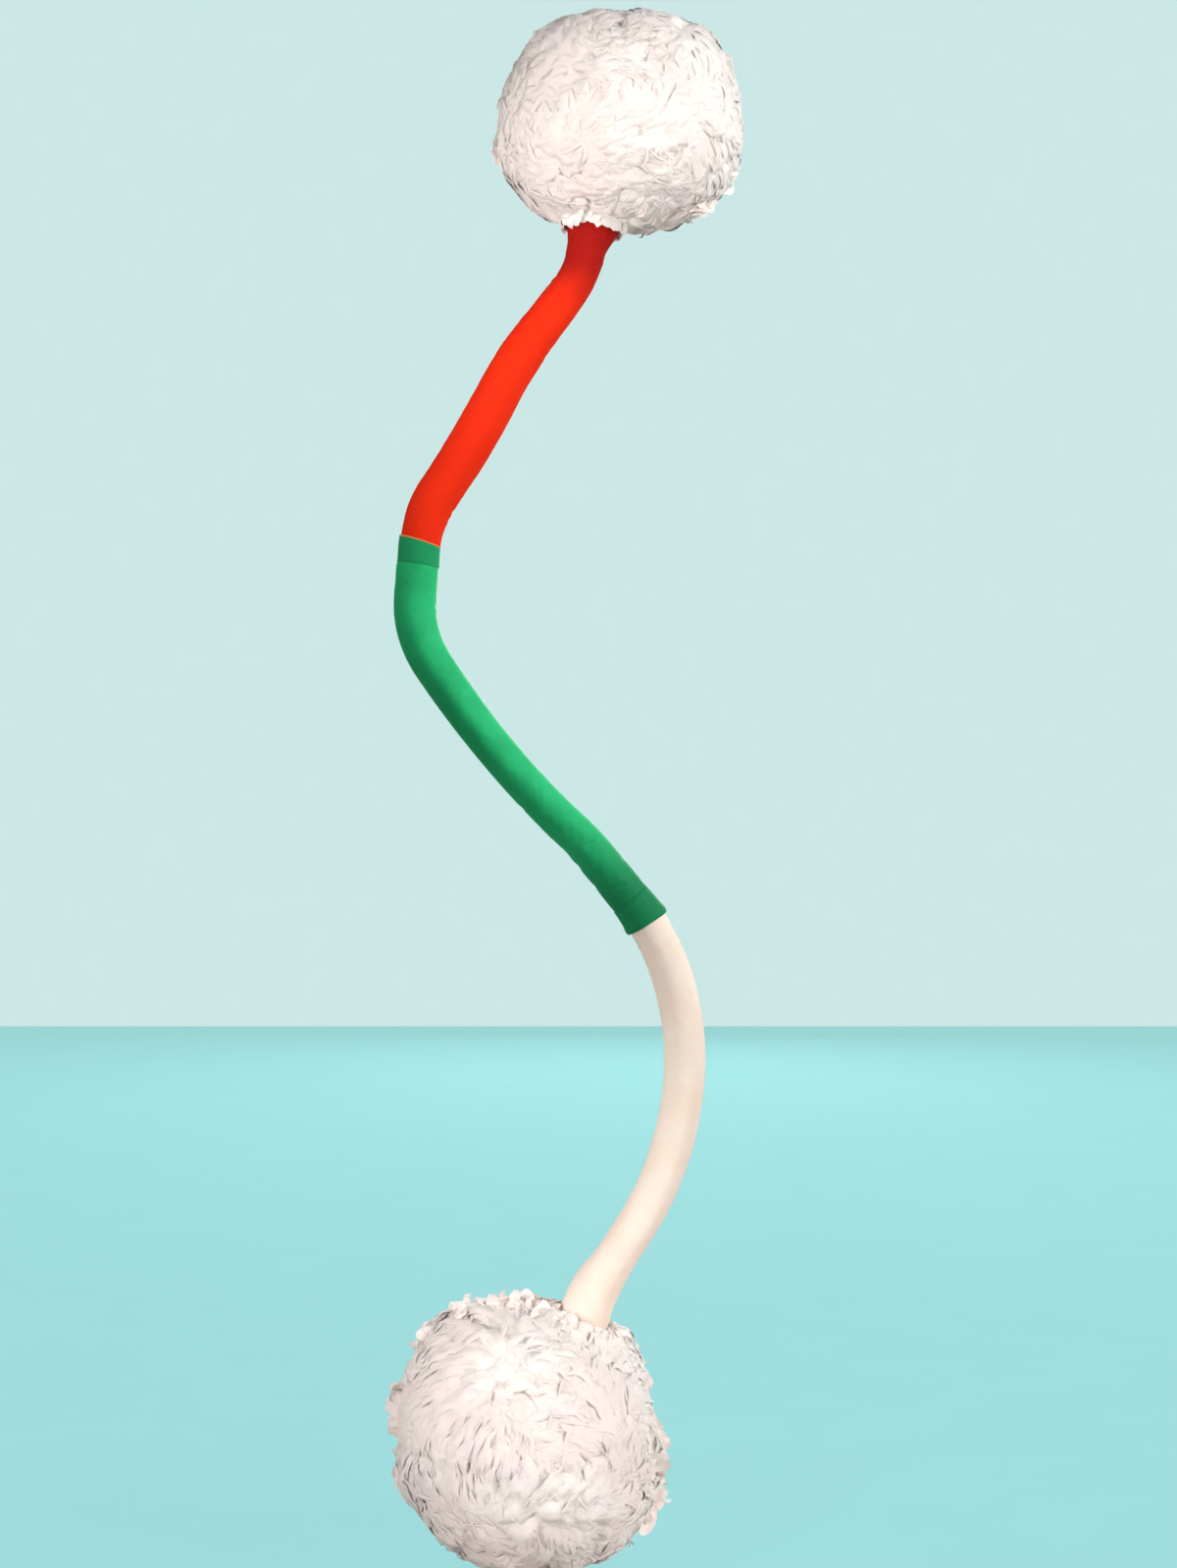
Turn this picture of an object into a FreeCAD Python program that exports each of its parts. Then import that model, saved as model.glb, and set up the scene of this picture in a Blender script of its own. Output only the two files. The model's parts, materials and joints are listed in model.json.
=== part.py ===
import FreeCAD, Part
import math
import os
import Sketcher
from FreeCAD import Placement, Rotation, Vector

# Cheer pom pom baton: a padded shaft in an S curve, in red, green and cream sleeves, with a
# round pom at each end. Inside the padding run five tubes, joined by four friction knuckles
# that let the baton bend in its own plane, and each pom spins on a stem at the shaft's end.
# Origin: the middle of the hand grip. +X to the right, +Y to the back, +Z up. Millimetres.

# Name, value and meaning of each driving size. Angles are in degrees.
sizeTable = [
    ("grip_lean", 39.5, "lean of the grip from upright, to the left"),
    ("grip_radius", 530, "curve of the hand grip"),
    ("grip_turn", 14, "turn of the hand grip"),
    ("bend_run", 32, "straight stretch at each knuckle"),
    ("upper_elbow_radius", 66, "curve between the grip and the upper knuckle"),
    ("upper_elbow_turn", 34.5, "its turn"),
    ("red_elbow_radius", 68, "curve at the foot of the red arm"),
    ("red_elbow_turn", 32.5, "its turn"),
    ("red_middle_radius", 590, "slight bow of the red arm"),
    ("red_middle_turn", 7, "its turn"),
    ("red_upper_radius", 260, "curve near the top of the red arm"),
    ("red_upper_turn", 9.5, "its turn"),
    ("top_neck_radius", 62, "curve of the top neck"),
    ("top_neck_turn", 21, "its turn"),
    ("top_stem_rest", 8, "straight neck before the flare at the top pom"),
    ("lower_elbow_radius", 200, "curve between the grip and the lower knuckle"),
    ("lower_elbow_turn", 7.5, "its turn"),
    ("cream_first_radius", 138, "curve at the top of the cream arm"),
    ("cream_first_turn", 22, "its turn"),
    ("cream_second_radius", 173, "curve at the middle of the cream arm"),
    ("cream_second_turn", 22.5, "its turn"),
    ("cream_third_radius", 198, "curve at the foot of the cream arm"),
    ("cream_third_turn", 27, "its turn"),
    ("bottom_neck_radius", 90, "curve of the bottom neck"),
    ("bottom_neck_turn", 10, "its turn"),
    ("bottom_stem_rest", 4, "straight neck before the flare at the bottom pom"),
    ("core_radius", 6, "outside of the core tubes and knuckles"),
    ("core_wall", 1, "wall of the core tubes"),
    ("foam_radius", 11.5, "outside of the foam"),
    ("sleeve_cloth", 0.95, "thickness of the sleeves"),
    ("hem_cloth", 0.85, "thickness of the hem bands"),
    ("hem_width", 17, "width of the hem bands"),
    ("upper_cuff", 30, "from the upper knuckle to the edge of the green sleeve"),
    ("lower_cuff", 36, "from the lower knuckle to the edge of the green sleeve"),
    ("flare_spread", 2.5, "how much wider the sleeve is where it meets a pom"),
    ("flare_length", 12, "length of that flare"),
    ("neck_bury", 6, "how far the neck sleeve goes into the pom"),
    ("cover_room", 0.6, "room between a knuckle and the soft ring over it"),
    ("spigot_length", 8, "length of the spigot in the tube"),
    ("side_flat", 0.5, "depth of a knuckle's side flats"),
    ("nose_gap", 0.5, "room between a nose and the shoulder it faces"),
    ("foam_room", 0.6, "room between a nose and the cut end of the foam past it"),
    ("flat_over", 2, "how far the side flats run past the slot"),
    ("shoulder_length", 4, "solid bar between the slot and the tube's end"),
    ("tongue_half", 2, "half the tongue's thickness"),
    ("washer_thick", 0.5, "thickness of a friction washer"),
    ("washer_radius", 4.5, "outside of a friction washer"),
    ("axial_gap", 0.05, "gap beside each friction washer"),
    ("screw_radius", 1.5, "shank of the knuckle screw"),
    ("screw_head_rim", 1.25, "how far the knuckle screw's head stands out"),
    ("screw_head_length", 1.1, "height of that head"),
    ("head_room", 0.15, "room around that head"),
    ("head_recess", 1.85, "depth of the head's seat in the fork's cheek"),
    ("running_gap", 0.05, "radial gap of what turns in a bore"),
    ("glue_gap", 0.05, "radial gap of what is glued or pinned"),
    ("cut_gap", 0.3, "gap between soft pieces that meet end to end"),
    ("pin_radius", 1, "cross pin of a spigot"),
    ("pin_inset", 0.1, "how far a cross pin stays below the tube's surface"),
    ("top_pom_radius", 75, "top pom, across its stem"),
    ("top_pom_height", 69, "top pom, along its stem from the middle"),
    ("bottom_pom_radius", 83, "bottom pom, across its stem"),
    ("bottom_pom_height", 82, "bottom pom, along its stem from the middle"),
    ("pom_shoulder", 9, "how much tighter a pom's rim curves than its height"),
    ("neck_room", 1.5, "room in the pom around the sleeve's flare"),
    ("hub_foot", 14, "from the pom's middle to the hub's foot"),
    ("hub_length", 25, "length of the hub"),
    ("hub_wall", 3.95, "wall of the hub's barrel"),
    ("plate_radius", 22, "hub flange and clamp plate"),
    ("plate_thick", 2.5, "thickness of each"),
    ("strand_gap", 0.3, "room between the strands and the hub"),
    ("end_gap", 0.1, "end play of the pom on its stem"),
    ("collar_wall", 3.45, "wall of the stop collar under the hub"),
    ("collar_length", 5, "length of the stop collar"),
    ("insert_length", 10, "threaded insert in the stem"),
    ("end_screw_radius", 2.5, "shank of the end screw"),
    ("end_screw_length", 13, "length of that shank"),
    ("end_head_radius", 4.75, "head of the end screw"),
    ("end_head_length", 3, "height of that head"),
    ("end_washer_radius", 9, "washer under the end screw"),
    ("end_washer_thick", 1.2, "thickness of that washer"),
    ("thread_gap", 0.03, "radial gap of a thread"),
    ("chamber_side", 2, "room around the end washer"),
    ("chamber_top", 1.1, "room over the end screw"),
]

doc = FreeCAD.newDocument("CheerPomPom")
sheet = doc.addObject("Spreadsheet::Sheet", "Sizes")
for row, (name, value, meaning) in enumerate(sizeTable, start=1):
    sheet.set("A%d" % row, name)
    sheet.set("B%d" % row, str(value))
    sheet.set("C%d" % row, meaning)
    sheet.setAlias("B%d" % row, name)
doc.recompute()


# A size knows both its value and the sheet expression that gives it.
class Size:
    def __init__(self, value, text):
        self.value = float(value)
        self.text = text

    def combine(self, other, sign, value):
        return Size(value, "(%s %s %s)" % (self.text, sign, asSize(other).text))

    def __add__(self, other):
        return self.combine(other, "+", self.value + asSize(other).value)

    def __sub__(self, other):
        return self.combine(other, "-", self.value - asSize(other).value)

    def __mul__(self, other):
        return self.combine(other, "*", self.value * asSize(other).value)

    def __truediv__(self, other):
        return self.combine(other, "/", self.value / asSize(other).value)

    def __neg__(self):
        return Size(-self.value, "(0 - %s)" % self.text)


def asSize(number):
    return number if isinstance(number, Size) else Size(number, "%.9f" % number)


def size(name):
    return Size(sheet.get(name), "Sizes." + name)


zero = asSize(0)
halfRun = size("bend_run") / 2
coreRadius = size("core_radius")
coreBore = coreRadius - size("core_wall")
hubFoot = size("hub_foot")
plateThick = size("plate_thick")
hubTop = size("hub_length") - hubFoot
capTop = hubTop + plateThick
tubeTop = capTop + size("end_gap")
runningBore = coreRadius + size("running_gap")
gluedBore = coreRadius + size("glue_gap")
sleeveBore = size("foam_radius") + size("glue_gap")
sleeveRadius = sleeveBore + size("sleeve_cloth")
hingeBore = size("screw_radius") + size("running_gap")
screwHead = size("screw_radius") + size("screw_head_rim")
headSeat = coreRadius - size("head_recess")
noseRadius = coreRadius - size("side_flat")
slotEnd = noseRadius + size("nose_gap")
foamCut = noseRadius + size("foam_room")
tubeSeat = slotEnd + size("shoulder_length")
pinDistance = tubeSeat + size("spigot_length") / 2
hubRadius = runningBore + size("hub_wall")
washerTop = tubeTop + size("glue_gap") + size("end_washer_thick")
screwTop = washerTop + size("glue_gap") + size("end_head_length")
nodes = {}


# ---- the centre line: straight runs and tangent arcs, all in the plane y = 0 ----

class Move:
    def __init__(self, length, radius=None, side=0):
        self.length = length
        self.radius = radius
        self.side = side

    def turn(self):
        return self.length / self.radius * 180 / math.pi

    def part(self, length):
        return Move(length, self.radius, self.side)


def run(length):
    return Move(length)


# An arc of the centre line. side is 1 towards the local +X and -1 towards the local -X.
def arc(name, side, share=1):
    radius = size(name + "_radius")
    turn = size(name + "_turn") * share
    return Move(radius * turn * math.pi / 180, radius, side)


def moved(place, move):
    length = move.length.value
    if move.radius is None:
        return place.multiply(Placement(Vector(0, 0, length), Rotation()))
    radius = move.radius.value
    angle = length / radius
    step = Vector(move.side * radius * (1 - math.cos(angle)), 0, radius * math.sin(angle))
    spin = Rotation(Vector(0, 1, 0), move.side * math.degrees(angle))
    return place.multiply(Placement(step, spin))


def walked(place, moves):
    for move in moves:
        place = moved(place, move)
    return place


def facingBack(place):
    return place.multiply(Placement(Vector(), Rotation(Vector(0, 1, 0), 180)))


def backwards(moves):
    return [Move(move.length, move.radius, -move.side) for move in reversed(moves)]


# Leaves out the first stretch of a route. A negative amount makes its first run longer.
def shortened(place, moves, amount):
    moves = list(moves)
    while amount.value > moves[0].length.value:
        place = moved(place, moves[0])
        amount = amount - moves[0].length
        moves.pop(0)
    place = moved(place, moves[0].part(amount))
    moves[0] = moves[0].part(moves[0].length - amount)
    return place, moves


def endShortened(moves, amount):
    return backwards(shortened(Placement(), backwards(moves), amount)[1])


# Keeps the first stretch of a route, from one distance to another.
def between(place, moves, first, last):
    kept = []
    left = last
    for move in moves:
        if left.value <= move.length.value:
            kept.append(move.part(left))
            break
        kept.append(move)
        left = left - move.length
    return shortened(place, kept, first)


# ---- sketches and features ----

def newBody(label, place):
    body = doc.addObject("PartDesign::Body", label)
    body.Label = label
    body.Placement = place
    nodes[label] = body
    return body


def newSketch(body, role, name, offset=None):
    sketch = body.newObject("Sketcher::SketchObject", name)
    plane = next(feature for feature in body.Origin.OriginFeatures if feature.Role == role)
    sketch.AttachmentSupport = [(plane, "")]
    sketch.MapMode = "FlatFace"
    if offset is not None:
        sketch.setExpression(".AttachmentOffset.Base.z", offset.text)
    return sketch


def constrain(sketch, amount, kind, *where):
    index = sketch.addConstraint(Sketcher.Constraint(kind, *where, amount.value))
    sketch.setExpression("Constraints[%d]" % index, amount.text)


# Ties a point of the sketch to its distances from the origin.
def fixPoint(sketch, piece, end, across, up):
    for kind, axis, amount in (("DistanceX", -2, across), ("DistanceY", -1, up)):
        if abs(amount.value) < 1e-9:
            sketch.addConstraint(Sketcher.Constraint("PointOnObject", piece, end, axis))
        else:
            constrain(sketch, amount, kind, -1, 1, piece, end)


def addCircle(sketch, radius, across=zero, up=zero):
    centre = Vector(across.value, up.value, 0)
    circle = sketch.addGeometry(Part.Circle(centre, Vector(0, 0, 1), radius.value))
    fixPoint(sketch, circle, 3, across, up)
    constrain(sketch, radius, "Radius", circle)


# A closed outline of straight edges through points given as (across, up).
def addOutline(sketch, points):
    points = [(asSize(across), asSize(up)) for across, up in points]
    spots = [Vector(across.value, up.value, 0) for across, up in points]
    edges = []
    for start, end in zip(spots, spots[1:] + spots[:1]):
        edges.append(sketch.addGeometry(Part.LineSegment(start, end)))
    for index, edge in enumerate(edges):
        following = edges[(index + 1) % len(edges)]
        sketch.addConstraint(Sketcher.Constraint("Coincident", edge, 2, following, 1))
        fixPoint(sketch, edge, 1, *points[index])


def revolved(body, sketch, cut=False):
    kind = "PartDesign::Groove" if cut else "PartDesign::Revolution"
    feature = body.newObject(kind, "Turned")
    feature.Profile = sketch
    feature.ReferenceAxis = (sketch, ["V_Axis"])
    feature.Angle = 360
    sketch.Visibility = False
    return feature


def cutThrough(body, sketch):
    pocket = body.newObject("PartDesign::Pocket", "Cut")
    pocket.Profile = sketch
    pocket.Type = 1
    pocket.Midplane = True
    sketch.Visibility = False
    return pocket


# A turned piece: its outline holds (radius, height) points, around the local Z axis.
def turned(label, place, points):
    body = newBody(label, place)
    sketch = newSketch(body, "XZ_Plane", "Section")
    addOutline(sketch, points)
    revolved(body, sketch)
    return body


def ringPoints(inner, outer, low, high):
    return [(inner, low), (outer, low), (outer, high), (inner, high)]


# The route of a piece in its own frame, which starts upwards along the local Z axis.
def addRoute(body, moves, start):
    sketch = newSketch(body, "XZ_Plane", "Route")
    place = Placement(Vector(0, 0, start.value), Rotation())
    entries = []
    for move in moves:
        goal = moved(place, move)
        begin = Vector(place.Base.x, place.Base.z, 0)
        end = Vector(goal.Base.x, goal.Base.z, 0)
        if move.radius is None:
            edge = sketch.addGeometry(Part.LineSegment(begin, end))
            entries.append((edge, 1, 2))
            constrain(sketch, move.length, "Distance", edge)
        else:
            middle = place.multVec(Vector(move.side * move.radius.value, 0, 0))
            centre = Vector(middle.x, middle.z, 0)
            if move.side > 0:
                begin, end = end, begin
            low = math.atan2(begin.y - centre.y, begin.x - centre.x)
            high = math.atan2(end.y - centre.y, end.x - centre.x)
            if high < low:
                high += 2 * math.pi
            circle = Part.Circle(centre, Vector(0, 0, 1), move.radius.value)
            edge = sketch.addGeometry(Part.ArcOfCircle(circle, low, high))
            entries.append((edge, 2, 1) if move.side > 0 else (edge, 1, 2))
            constrain(sketch, move.radius, "Radius", edge)
            turn = move.turn()
            index = sketch.addConstraint(Sketcher.Constraint("Angle", edge, high - low))
            sketch.setExpression("Constraints[%d]" % index, turn.text)
        place = goal
    edge, entry, _ = entries[0]
    fixPoint(sketch, edge, entry, zero, start)
    if moves[0].radius is None:
        sketch.addConstraint(Sketcher.Constraint("Vertical", edge))
    else:
        sketch.addConstraint(Sketcher.Constraint("Horizontal", edge, entry, edge, 3))
    for (edge, _, leave), (following, entry, _) in zip(entries, entries[1:]):
        sketch.addConstraint(Sketcher.Constraint("Tangent", edge, leave, following, entry))
    return sketch


def addPipe(body, moves, outer, inner, start=zero):
    route = addRoute(body, moves, start)
    section = newSketch(body, "XY_Plane", "Section", start)
    addCircle(section, outer)
    addCircle(section, inner)
    doc.recompute()
    pipe = body.newObject("PartDesign::AdditivePipe", "Pipe")
    pipe.Profile = section
    pipe.Spine = (route, ["Edge%d" % (index + 1) for index in range(len(moves))])
    route.Visibility = False
    section.Visibility = False


pipeVolumes = {}


# A round tube along a route.
def tube(label, place, moves, outer, inner):
    body = newBody(label, place)
    addPipe(body, moves, outer, inner)
    length = sum(move.length.value for move in moves)
    pipeVolumes[label] = math.pi * (outer.value ** 2 - inner.value ** 2) * length
    return body


# ---- where everything is ----

# From the pom's middle to where the neck's sleeve and foam end.
def neckEnd(name):
    return size(name + "_pom_height") - size("neck_bury")


# The straight end of a neck, up to the pom's middle.
def stem(name):
    return neckEnd(name) + size("flare_length") + size(name + "_stem_rest")


middle = Placement(Vector(), Rotation(Vector(0, 1, 0), -size("grip_lean").value))
upperGrip = [arc("grip", 1, 0.5), arc("upper_elbow", 1), run(halfRun)]
lowerGrip = [arc("grip", -1, 0.5), arc("lower_elbow", 1), run(halfRun)]
redRoute = [run(halfRun), arc("red_elbow", 1), arc("red_middle", -1), arc("red_upper", 1),
            run(halfRun)]
creamRoute = [run(halfRun), arc("cream_first", 1), arc("cream_second", 1),
              arc("cream_third", 1), run(halfRun)]
topRoute = [run(halfRun), arc("top_neck", -1), run(stem("top"))]
bottomRoute = [run(halfRun), arc("bottom_neck", -1), run(stem("bottom"))]
gripRoute = [run(halfRun), arc("upper_elbow", -1), arc("grip", -1), arc("lower_elbow", 1),
             run(halfRun)]

upperPivot = walked(middle, upperGrip)
lowerPivot = walked(facingBack(middle), lowerGrip)
topPivot = walked(upperPivot, redRoute)
bottomPivot = walked(lowerPivot, creamRoute)
topPom = walked(topPivot, topRoute)
bottomPom = walked(bottomPivot, bottomRoute)


# ---- the friction knuckles ----

# Both halves come from one turned blank: a spigot down into the tube, a bar with side flats
# and a round nose about the knuckle's axis, which is the local Y axis.
def knuckleBlank(label, place):
    spigotRadius = coreBore - size("glue_gap")
    seat = -tubeSeat
    foot = seat - size("spigot_length")
    nose = noseRadius
    body = turned(label, place, [(0, foot), (spigotRadius, foot), (spigotRadius, seat),
                                 (coreRadius, seat), (coreRadius, nose), (0, nose)])
    sides = newSketch(body, "XZ_Plane", "Nose")
    wide = coreRadius + 2
    tall = nose + 2
    low = -slotEnd - size("flat_over")
    across = [nose, wide, wide, -wide, -wide, -nose, -nose]
    up = [low, low, tall, tall, low, low, zero]
    spots = [Vector(a.value, b.value, 0) for a, b in zip(across, up)]
    first = sides.addGeometry(Part.LineSegment(Vector(nose.value, 0, 0), spots[0]))
    edges = [first]
    for start, end in zip(spots, spots[1:]):
        edges.append(sides.addGeometry(Part.LineSegment(start, end)))
    circle = Part.Circle(Vector(), Vector(0, 0, 1), nose.value)
    roundNose = sides.addGeometry(Part.ArcOfCircle(circle, 0, math.pi))
    for edge, following in zip(edges, edges[1:]):
        sides.addConstraint(Sketcher.Constraint("Coincident", edge, 2, following, 1))
    for edge, a, b in zip(edges, across, up):
        fixPoint(sides, edge, 2, a, b)
    sides.addConstraint(Sketcher.Constraint("Coincident", edges[-1], 2, roundNose, 2))
    sides.addConstraint(Sketcher.Constraint("Coincident", edges[0], 1, roundNose, 1))
    sides.addConstraint(Sketcher.Constraint("Coincident", roundNose, 3, -1, 1))
    sides.addConstraint(Sketcher.Constraint("PointOnObject", roundNose, 1, -1))
    cutThrough(body, sides)
    pinHole = newSketch(body, "XZ_Plane", "PinHole")
    addCircle(pinHole, size("pin_radius") + size("glue_gap"), zero, -pinDistance)
    cutThrough(body, pinHole)
    return body


def fork(label, place):
    body = knuckleBlank(label, place)
    slotHalf = size("tongue_half") + size("washer_thick") + size("axial_gap") * 2
    slot = newSketch(body, "YZ_Plane", "Slot")
    low = -slotEnd
    high = noseRadius + 1
    addOutline(slot, [(-slotHalf, low), (slotHalf, low), (slotHalf, high), (-slotHalf, high)])
    cutThrough(body, slot)
    bore = newSketch(body, "XY_Plane", "ScrewHole")
    far = coreRadius + 1
    headHole = screwHead + size("head_room")
    seat = -headSeat
    addOutline(bore, [(0, -far), (headHole, -far), (headHole, seat), (hingeBore, seat),
                      (hingeBore, far), (0, far)])
    revolved(body, bore, cut=True)


def tongue(label, place):
    body = knuckleBlank(label, facingBack(place))
    half = size("tongue_half")
    wide = coreRadius + 1
    low = -slotEnd
    high = noseRadius + 1
    cheeks = newSketch(body, "YZ_Plane", "Cheeks")
    addOutline(cheeks, [(half, low), (wide, low), (wide, high), (half, high)])
    addOutline(cheeks, [(-wide, low), (-half, low), (-half, high), (-wide, high)])
    cutThrough(body, cheeks)
    bore = newSketch(body, "XZ_Plane", "ScrewHole")
    addCircle(bore, hingeBore)
    cutThrough(body, bore)


# The screw's head faces the front, and its tip is screwed into the fork's rear cheek.
def knuckleScrew(label, place):
    facing = place.multiply(Placement(Vector(), Rotation(Vector(1, 0, 0), 90)))
    shank = size("screw_radius")
    seat = headSeat + size("axial_gap")
    top = seat + size("screw_head_length")
    turned(label, facing, [(0, -top), (shank, -top), (shank, seat), (screwHead, seat),
                           (screwHead, top), (0, top)])


def cylinder(name, radius, height, place):
    piece = doc.addObject("Part::Cylinder", name)
    piece.setExpression("Radius", radius.text)
    piece.setExpression("Height", height.text)
    piece.Placement = place
    return piece


def compound(label, place, pieces):
    group = doc.addObject("Part::Compound", label)
    group.Label = label
    group.Links = pieces
    group.Placement = place
    nodes[label] = group


# Two flat rings, one on each side of the tongue.
def frictionWashers(label, place):
    thick = size("washer_thick")
    inside = size("tongue_half") + size("axial_gap")
    rings = []
    for side in (1, -1):
        far = inside.value if side > 0 else -inside.value - thick.value
        where = Placement(Vector(0, far, 0), Rotation(Vector(1, 0, 0), -90))
        disc = cylinder("Disc", size("washer_radius"), thick, where)
        hole = cylinder("Hole", hingeBore + size("running_gap"), thick, where)
        ring = doc.addObject("Part::Cut", "Ring")
        ring.Base = disc
        ring.Tool = hole
        rings.append(ring)
    compound(label, place, rings)


# Cross pins through the tube's walls and the spigots, along the local Y axis.
def crossPins(label, places):
    half = coreRadius - size("pin_inset")
    pins = []
    for place in places:
        down = Vector(0, -half.value, 0)
        local = Placement(down, Rotation(Vector(1, 0, 0), -90))
        pins.append(cylinder("Pin", size("pin_radius"), half * 2, place.multiply(local)))
    compound(label, Placement(), pins)


# Where a tube's cross pin is, on the side that the local Z axis points to.
def pinPlace(pivot):
    return moved(pivot, run(pinDistance))


# The soft ring that fills the padding at a knuckle.
def bendCover(label, place):
    half = foamCut - size("cut_gap")
    bore = coreRadius + size("cover_room")
    turned(label, place, ringPoints(bore, sleeveRadius, -half, half))


def knuckle(name, place):
    fork(name + "_fork", place)
    tongue(name + "_tongue", place)
    knuckleScrew(name + "_screw", place)
    frictionWashers(name + "_washers", place)
    bendCover(name + "_cover", place)


# ---- core tubes, foam and sleeves ----

def coreTube(label, place, moves, pinEnds):
    body = tube(label, place, moves, coreRadius, coreBore)
    holes = newSketch(body, "XZ_Plane", "PinHoles")
    pinHole = size("pin_radius") + size("glue_gap")
    inverse = place.inverse()
    for where in pinEnds:
        spot = inverse.multVec(where.Base)
        addCircle(holes, pinHole, asSize(spot.x), asSize(spot.z))
    cutThrough(body, holes)
    pipeVolumes.pop(label)


def limb(name, place, moves, ends):
    start, kept = shortened(place, moves, tubeSeat)
    coreTube(name + "_tube", start, endShortened(kept, tubeSeat), ends)
    start, kept = shortened(place, moves, foamCut)
    padding = endShortened(kept, foamCut)
    tube(name + "_foam", start, padding, size("foam_radius"), gluedBore)
    crossPins(name + "_pins", ends)


def sleeve(label, place, moves):
    tube(label, place, moves, sleeveRadius, sleeveBore)


# A green cuff over the start of an arm, the hem band over its edge, and the arm's sleeve.
def coveredArm(name, label, place, moves, cuff):
    hemBore = sleeveRadius + size("glue_gap")
    start, kept = between(place, moves, foamCut, cuff - size("hem_width") / 2)
    sleeve("green_" + name + "_cuff", start, kept)
    start, kept = between(place, moves, cuff - size("hem_width"), cuff)
    tube(name + "_hem", start, kept, hemBore + size("hem_cloth"), hemBore)
    start, kept = shortened(place, moves, cuff - size("hem_width") / 2 + size("cut_gap"))
    sleeve(label, start, endShortened(kept, foamCut))


# A neck runs from the pom's middle back to its knuckle, so its flare is at its start.
def neck(name, pom, moves, pivot):
    route = backwards(moves)
    inward = facingBack(pom)
    start, kept = shortened(inward, route, -tubeTop)
    coreTube(name + "_neck_tube", start, endShortened(kept, tubeSeat), [pinPlace(pivot)])
    crossPins(name + "_neck_pins", [pinPlace(pivot)])
    start, kept = shortened(inward, route, neckEnd(name))
    padding = endShortened(kept, foamCut)
    tube(name + "_neck_foam", start, padding, size("foam_radius"), gluedBore)
    body = newBody(name + "_neck_sleeve", start)
    spread = size("flare_spread")
    flare = newSketch(body, "XZ_Plane", "Flare")
    length = size("flare_length")
    addOutline(flare, [(sleeveBore + spread, 0), (sleeveRadius + spread, 0),
                       (sleeveRadius, length), (sleeveBore, length)])
    revolved(body, flare)
    doc.recompute()
    rest = shortened(Placement(), padding, length)[1]
    addPipe(body, rest, sleeveRadius, sleeveBore, length)


# ---- the poms ----

# The ball of strands: an oval of revolution with a recess for the neck, a pocket for the hub
# and a hollow over the end screw.
def strands(label, place, radius, height):
    gap = size("strand_gap")
    rim = height - size("pom_shoulder")
    rimMiddle = radius - rim
    shoulder = height - rim
    drop = (rimMiddle * rimMiddle - shoulder * shoulder) / (shoulder * 2)
    cap = height + drop
    lean = math.atan2(rimMiddle.value, drop.value)
    touch = Vector(cap.value * math.sin(lean), cap.value * math.cos(lean) - drop.value, 0)
    hole = sleeveRadius + size("flare_spread") + size("neck_room")
    mouth = math.sqrt(cap.value ** 2 - hole.value ** 2) - drop.value
    under = -hubFoot - gap
    plate = size("plate_radius") + gap
    barrel = hubRadius + gap
    overFlange = plateThick - hubFoot + gap
    underCap = hubTop - gap
    overCap = capTop + gap
    chamber = size("end_washer_radius") + size("chamber_side")
    roof = screwTop + size("chamber_top")
    inside = [(hole, under), (plate, under), (plate, overFlange), (barrel, overFlange),
              (barrel, underCap), (plate, underCap), (plate, overCap), (chamber, overCap),
              (chamber, roof), (zero, roof)]
    body = newBody(label, place)
    sketch = newSketch(body, "XZ_Plane", "Section")
    spots = [Vector(hole.value, -mouth, 0)] + [Vector(a.value, b.value, 0) for a, b in inside]
    spots.append(Vector(0, height.value, 0))
    edges = []
    for start, end in zip(spots, spots[1:]):
        edges.append(sketch.addGeometry(Part.LineSegment(start, end)))
    capAngle = math.atan2(touch.y + drop.value, touch.x)
    rimAngle = math.atan2(touch.y, touch.x - rimMiddle.value)
    mouthAngle = math.atan2(-mouth - drop.value, hole.value)
    topCircle = Part.Circle(Vector(0, -drop.value, 0), Vector(0, 0, 1), cap.value)
    rimCircle = Part.Circle(Vector(rimMiddle.value, 0, 0), Vector(0, 0, 1), rim.value)
    lowCircle = Part.Circle(Vector(0, drop.value, 0), Vector(0, 0, 1), cap.value)
    topArc = sketch.addGeometry(Part.ArcOfCircle(topCircle, capAngle, math.pi / 2))
    rimArc = sketch.addGeometry(Part.ArcOfCircle(rimCircle, -rimAngle, rimAngle))
    lowArc = sketch.addGeometry(Part.ArcOfCircle(lowCircle, mouthAngle, -capAngle))
    for edge, following in zip(edges, edges[1:]):
        sketch.addConstraint(Sketcher.Constraint("Coincident", edge, 2, following, 1))
    for edge, (across, up) in zip(edges, inside):
        fixPoint(sketch, edge, 2, across, up)
    fixPoint(sketch, edges[-1], 2, zero, height)
    fixPoint(sketch, rimArc, 3, rimMiddle, zero)
    fixPoint(sketch, topArc, 3, zero, -drop)
    fixPoint(sketch, lowArc, 3, zero, drop)
    sketch.addConstraint(Sketcher.Constraint("Coincident", edges[-1], 2, topArc, 2))
    sketch.addConstraint(Sketcher.Constraint("Tangent", topArc, 1, rimArc, 2))
    sketch.addConstraint(Sketcher.Constraint("Tangent", rimArc, 1, lowArc, 2))
    sketch.addConstraint(Sketcher.Constraint("Coincident", lowArc, 1, edges[0], 1))
    sketch.addConstraint(Sketcher.Constraint("Vertical", edges[0]))
    revolved(body, sketch)


def hub(label, place):
    foot = -hubFoot
    turned(label, place, [(runningBore, foot), (size("plate_radius"), foot),
                          (size("plate_radius"), foot + plateThick),
                          (hubRadius, foot + plateThick), (hubRadius, hubTop),
                          (runningBore, hubTop)])


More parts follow.
